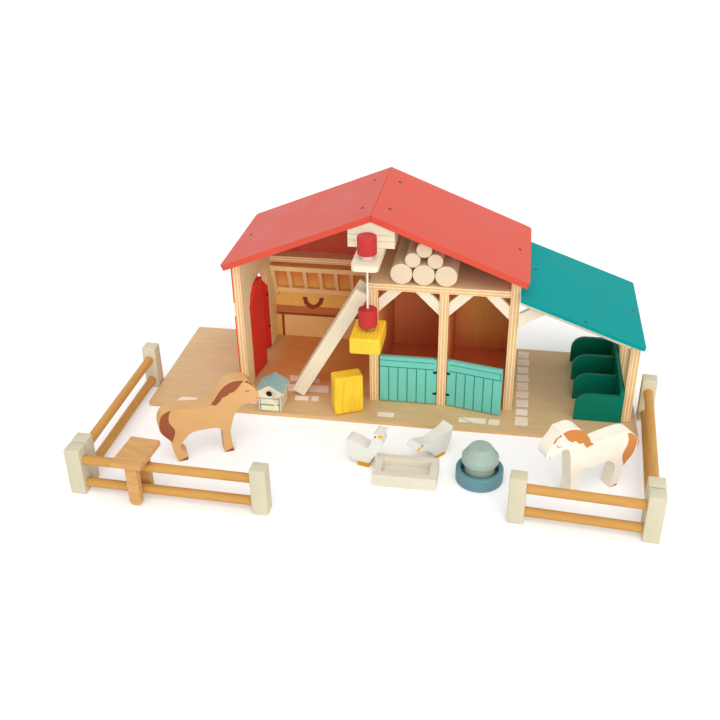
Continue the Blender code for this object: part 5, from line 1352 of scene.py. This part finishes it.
class BoardAnimal:
    """The front face of an animal that is cut out of board, as its CAD node has it."""

    def __init__(self, node):
        self.node = node
        faces = [p for p in NODES[node].data.polygons if abs(p.normal.z) < 0.01 and p.normal.y < -0.2]
        best = max(faces, key=lambda p: p.area)
        self.normal = best.normal.copy()
        self.along = Vector((-self.normal.y, self.normal.x, 0))
        points = [v.co for v in NODES[node].data.vertices]
        depth = [p.dot(self.normal) for p in points]
        self.front = max(depth)
        self.thick = self.front - min(depth)
        self.start = min(p.dot(self.along) for p in points)
        self.turn = math.atan2(self.along.y, self.along.x)

    def rounded(self):
        """The same board again, with finely rounded edges round its two flat faces."""
        bm = node_mesh(self.node)
        bmesh.ops.dissolve_limit(bm, angle_limit=FLAT_ANGLE, verts=bm.verts, edges=bm.edges)
        face = max((f for f in bm.faces if f.normal.dot(self.normal) > SAME_WAY), key=lambda f: f.calc_area())
        line = []
        for vert in face.verts:
            point = Vector((vert.co.dot(self.along), vert.co.z))
            if not line or (point - line[-1]).length > NEAR:
                line.append(point)
        bm.free()
        radius = min(point.y for point in line)
        count = len(line)
        outward = []
        for i in range(count):
            before = (line[i] - line[i - 1]).normalized()
            after = (line[(i + 1) % count] - line[i]).normalized()
            sides = Vector((before.y, -before.x)), Vector((after.y, -after.x))
            outward.append((sides[0] + sides[1]) / max(1 + sides[0].dot(sides[1]), MITRE_LIMIT))
        profile = []
        for k in range(EDGE_STEPS + 1):
            angle = math.pi / 2 * k / EDGE_STEPS
            profile.append((radius * math.sin(angle), radius * (1 - math.cos(angle))))
        profile.append((radius, radius + EDGE_SUPPORT))
        profile += [(reach, self.thick - depth) for reach, depth in reversed(profile)]
        bm = bmesh.new()
        rings = [[bm.verts.new(self.along * (p.x + out.x * reach) + self.normal * (self.front - depth)
                               + UP * (p.y + out.y * reach)) for p, out in zip(line, outward)]
                 for reach, depth in profile]
        add_skin(bm, rings[::-1])
        bm.faces.new(rings[0])
        bm.faces.new(rings[-1][::-1])
        bm.normal_update()
        return bm

    def spot(self, u, z, back=False):
        depth = self.front - (self.thick if back else 0)
        return self.along * (self.start + u * MM) + self.normal * depth + UP * z * MM

    def mark(self, bm, outline, proud, index, smooth=2):
        """The same flat mark on both faces of the board."""
        points = smooth_loop(outline, smooth) if smooth else outline
        for back in (False, True):
            normal = -self.normal if back else self.normal
            add_slab(bm, [self.spot(p[0], p[1], back) for p in points], normal, proud, index)

    def stroke(self, bm, points, width, proud, index):
        """A curved line of even width."""
        left, right = [], []
        for i, p in enumerate(points):
            before = Vector(points[max(i - 1, 0)])
            after = Vector(points[min(i + 1, len(points) - 1)])
            side = (after - before).normalized().orthogonal() * width / 2
            left.append(Vector(p) + side)
            right.append(Vector(p) - side)
        self.mark(bm, left + right[::-1], proud, index, 0)

    def dot(self, bm, centre, radius, proud, index):
        self.mark(bm, round_spots(centre, radius, 20), proud, index, 0)


def dipped_animal(animal, dips, mats):
    """The board of an animal with dipped feet.

    Each dip is a span along it and the paint's height at both ends, in millimetres.
    """
    bm = animal.rounded()
    for left, right, low, high in dips:
        slope = (high - low) / (right - left)
        cut(bm, animal.spot(left, low), UP - animal.along * slope)
        for face in bm.faces:
            place = face.calc_center_median()
            reach = (place.dot(animal.along) - animal.start) / MM
            below = place.z / MM < low + (reach - left) * slope
            if below and left - DIP_MARGIN < reach < right + DIP_MARGIN:
                face.material_index = 1
    finish_piece(animal.node + "_board", bm, mats, animal.node, [animal.node], flat=animal.normal)


def coat(animal, colour, dark, contrast):
    return wood(animal.node + "_coat", colour, dark, (0, 0, -animal.turn), contrast=contrast, fineness=0.9)


class TOYFARM_OT_horses(bpy.types.Operator):
    """Paints both horses with their manes, tails, hooves, eyes and nostrils"""
    bl_idname = "toyfarm.horses"
    bl_label = "Horses"

    def execute(self, context):
        c = colours()
        s = sizes()
        for node, slot, skin, dark, hair, patches, eye, nostril, hooves in (
                ("brown_horse", "brown_stain", c.brown_coat, srgb(202, 150, 92), c.brown_mane,
                 (BROWN_TAIL, BROWN_MANE, BROWN_FORELOCK), BROWN_EYE, (94.3, 55), BROWN_HOOVES),
                ("white_horse", "ivory_paint", c.white_coat, srgb(232, 222, 200), c.orange_mane,
                 (WHITE_TAIL, WHITE_MANE, WHITE_FORELOCK), WHITE_EYE, (3.4, 53.6), WHITE_HOOVES)):
            animal = BoardAnimal(node)
            hair_paint = paint(node + "_hair", hair, 0.5, (0, 0, -animal.turn), 0.05)
            eye_paint = paint(node + "_eye", shade(hair, 0.6), 0.5)
            dips = [(left, right, 0, s.hoof_height / MM * share) for left, right, share in hooves]
            dipped_animal(animal, dips, [coat(animal, skin, dark, 0.35), hair_paint])
            bm = bmesh.new()
            for outline in patches:
                animal.mark(bm, outline, s.print_proud, 0)
            animal.stroke(bm, eye, 0.7, s.print_proud, 1)
            animal.dot(bm, nostril, 0.6, s.print_proud, 1)
            finish_piece(node + "_marks", bm, [hair_paint, eye_paint], node, smooth=False)
        return {"FINISHED"}


class TOYFARM_OT_geese(bpy.types.Operator):
    """Paints both geese with their beaks, feet and eyes"""
    bl_idname = "toyfarm.geese"
    bl_label = "Geese"

    def execute(self, context):
        c = colours()
        s = sizes()
        for node, beak, eye, foot in (("upright_goose", UPRIGHT_BEAK, (30.5, 36.6), 1),
                                      ("feeding_goose", FEEDING_BEAK, (7.8, 23.4), 0.7)):
            animal = BoardAnimal(node)
            white = coat(animal, c.goose, srgb(224, 222, 210), 0.3)
            orange = paint(node + "_orange", shade(c.beak, 0.72), 0.45)
            beak_paint = paint(node + "_beak", c.beak, 0.45)
            black = paint(node + "_eye", srgb(40, 38, 36), 0.4)
            foot_top = s.foot_height / MM * foot
            dipped_animal(animal, ((0, 50, foot_top, foot_top),), [white, orange])
            bm = bmesh.new()
            animal.mark(bm, beak, s.print_proud, 0)
            animal.dot(bm, eye, 0.95, s.print_proud, 1)
            finish_piece(node + "_marks", bm, [beak_paint, black], node, smooth=False)
        return {"FINISHED"}


# Small pieces

# In millimetres on the coop's front: two opposite corners and the paint's number
COOP_LINES = ((1.2, 15.3, 22.2, 16.1, 0), (1.2, 7.2, 16.4, 8.9, 1), (18.8, 7.4, 22.2, 9, 1),
              (1.2, 0.5, 22.2, 1.3, 0), (1.2, 0.5, 2.2, 15.5, 0), (21.2, 0.5, 22.3, 18.2, 0),
              (3, 1.6, 20.6, 6.6, 2))
# From the ridge's front end
COOP_SPECKS = ((-9.5, 5), (-5, 9), (-8, 15), (3.5, 3), (8.5, 7.5), (4.5, 12.5), (10.5, 14))
COOP_EAVES = 3 * MM
COOP_SPECK = 0.55 * MM
# The round hole's height and radius on the front, in millimetres
COOP_HOLE = 21.5, 3.1
# Behind it, how deep the dark faces start and end, and half their width
COOP_ENTRANCE = 0.6 * MM, 6 * MM, 3.2 * MM
COOP_ROOF_ABOVE = 10 * MM
# Faces whose normal rises more than this belong to its roof
SLOPING = 0.3


class TOYFARM_OT_coop(bpy.types.Operator):
    """Paints the hen coop, its roof, its entrance and the lines on its front"""
    bl_idname = "toyfarm.coop"
    bl_label = "Hen coop"

    def execute(self, context):
        low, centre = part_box("coop")[0], centre_of("coop")
        bm = node_mesh("coop")
        start, end, half = COOP_ENTRANCE
        for face in bm.faces:
            place = face.calc_center_median()
            hollow = start < place.y - low.y < end and abs(place.x - centre.x) < half
            if face.normal.z > SLOPING and place.z > low.z + COOP_ROOF_ABOVE:
                face.material_index = 1
            elif hollow and abs(face.normal.z) < 0.99:
                face.material_index = 2
        black = paint("coop_hole", srgb(24, 22, 20), 0.6)
        body = wood("coop_cream", srgb(234, 221, 190), heading="Z", contrast=0.3)
        roof = paint("coop_roof_paint", colours().coop_blue, 0.45, "Y", 0.1)
        finish_piece("coop_block", bm, [body, roof, black], "coop", ["coop"])
        proud = sizes().print_proud
        corner = Vector((low.x + COOP_EAVES, low.y, low.z))

        def on_front(x, z):
            return corner + Vector((x * MM, 0, z * MM))
        mats = [paint("coop_line", srgb(112, 146, 152), 0.5),
                paint("coop_shutter", srgb(104, 166, 166), 0.5),
                wood("coop_panel", srgb(243, 232, 176), contrast=0.3),
                paint("coop_speck", srgb(226, 222, 190), 0.5), black]
        bm = bmesh.new()
        for *corners, index in COOP_LINES:
            add_slab(bm, rectangle(on_front, *corners), FRONT, proud, index)
        height, radius = COOP_HOLE
        ring = round_spots(((centre.x - corner.x) / MM, height), radius, 32)
        add_slab(bm, [on_front(x, z) for x, z in ring], FRONT, proud, 4)
        for x, y in COOP_SPECKS:
            side = [f for f in NODES["coop"].data.polygons if f.normal.z > SLOPING and f.normal.x * x > 0]
            slope = max(side, key=lambda f: f.area)
            spot = on_slope(centre.x + x * MM, low.y + y * MM, slope.center, slope.normal)
            across_slope = slope.normal.cross(-FRONT).normalized()
            ring = round_spots((0, 0), COOP_SPECK, 8)
            add_slab(bm, [spot + across_slope * u - FRONT * v for u, v in ring], slope.normal, proud, 3)
        finish_piece("coop_marks", bm, mats, "coop", smooth=False)
        return {"FINISHED"}


class TOYFARM_OT_drinker(bpy.types.Operator):
    """Turns the drinker's tray and jar"""
    bl_idname = "toyfarm.drinker"
    bl_label = "Drinker"

    def execute(self, context):
        c = colours()
        radius, height = across("drinker_tray")
        edge, inside, floor = 1.4 * MM, radius - 4.6 * MM, 4.5 * MM
        profile = [(0, 0), (radius - edge, 0), *arc((radius - edge, edge), edge, -60, 0),
                   *arc((radius - edge, height - edge), edge, 0, 80), (radius - 2.3 * MM, height),
                   *arc((inside + 0.8 * MM, height - 0.8 * MM), 0.8 * MM, 100, 180),
                   (inside, floor + 0.6 * MM), (inside - 0.6 * MM, floor), (0, floor)]
        slate = paint("tray_paint", c.slate, 0.42, "Z", 0.06)
        turned_piece("drinker_tray", profile, slate, "drinker_tray", 96)
        top = across("drinker_jar")[1]
        foot, shoulder, cap, foot_top, shoulder_top = 13.8 * MM, 17 * MM, 9.5 * MM, 15.5 * MM, 22.5 * MM
        profile = [(0, 0), (foot, 0.2 * MM), (foot, foot_top - 0.2 * MM), (foot + 0.3 * MM, foot_top),
                   *arc((shoulder - 1.1 * MM, foot_top + 1.1 * MM), 1.1 * MM, -90, 0),
                   *arc((shoulder - 1.3 * MM, shoulder_top - 1.3 * MM), 1.3 * MM, 0, 65),
                   *arc((cap - 0.4 * MM, top - 1.6 * MM), 1.6 * MM, 15, 90), (0, top)]
        sage = paint("jar_paint", c.sage, 0.42, "Z", 0.06)
        turned_piece("drinker_jar", profile, sage, "drinker_jar", 96)
        return {"FINISHED"}


OPERATORS = (TOYFARM_OT_stage, TOYFARM_OT_woodwork, TOYFARM_OT_roofs, TOYFARM_OT_prints,
             TOYFARM_OT_stable_doors, TOYFARM_OT_barn_doors, TOYFARM_OT_hoist, TOYFARM_OT_bales,
             TOYFARM_OT_logs, TOYFARM_OT_lean_to, TOYFARM_OT_fences, TOYFARM_OT_horses, TOYFARM_OT_geese,
             TOYFARM_OT_coop, TOYFARM_OT_drinker)


class TOYFARM_PT_panel(bpy.types.Panel):
    """Lists the farm's pieces and its settings"""
    bl_idname = "TOYFARM_PT_panel"
    bl_label = "Toy farm"
    bl_space_type = "VIEW_3D"
    bl_region_type = "UI"
    bl_category = "Toy farm"

    def draw(self, context):
        for operator in OPERATORS:
            self.layout.operator(operator.bl_idname)
        for group in (context.scene.farm_colours, context.scene.farm_sizes):
            for key in group.__annotations__:
                self.layout.prop(group, key)


CLASSES = (FarmColours, FarmSizes) + OPERATORS + (TOYFARM_PT_panel,)


def register():
    for item in CLASSES:
        bpy.utils.register_class(item)
    bpy.types.Scene.farm_colours = bpy.props.PointerProperty(type=FarmColours)
    bpy.types.Scene.farm_sizes = bpy.props.PointerProperty(type=FarmSizes)


def unregister():
    del bpy.types.Scene.farm_sizes
    del bpy.types.Scene.farm_colours
    for item in reversed(CLASSES):
        bpy.utils.unregister_class(item)


def main():
    register()
    for operator in OPERATORS:
        group, name = operator.bl_idname.split(".")
        getattr(getattr(bpy.ops, group), name)()


if __name__ == "__main__":
    main()
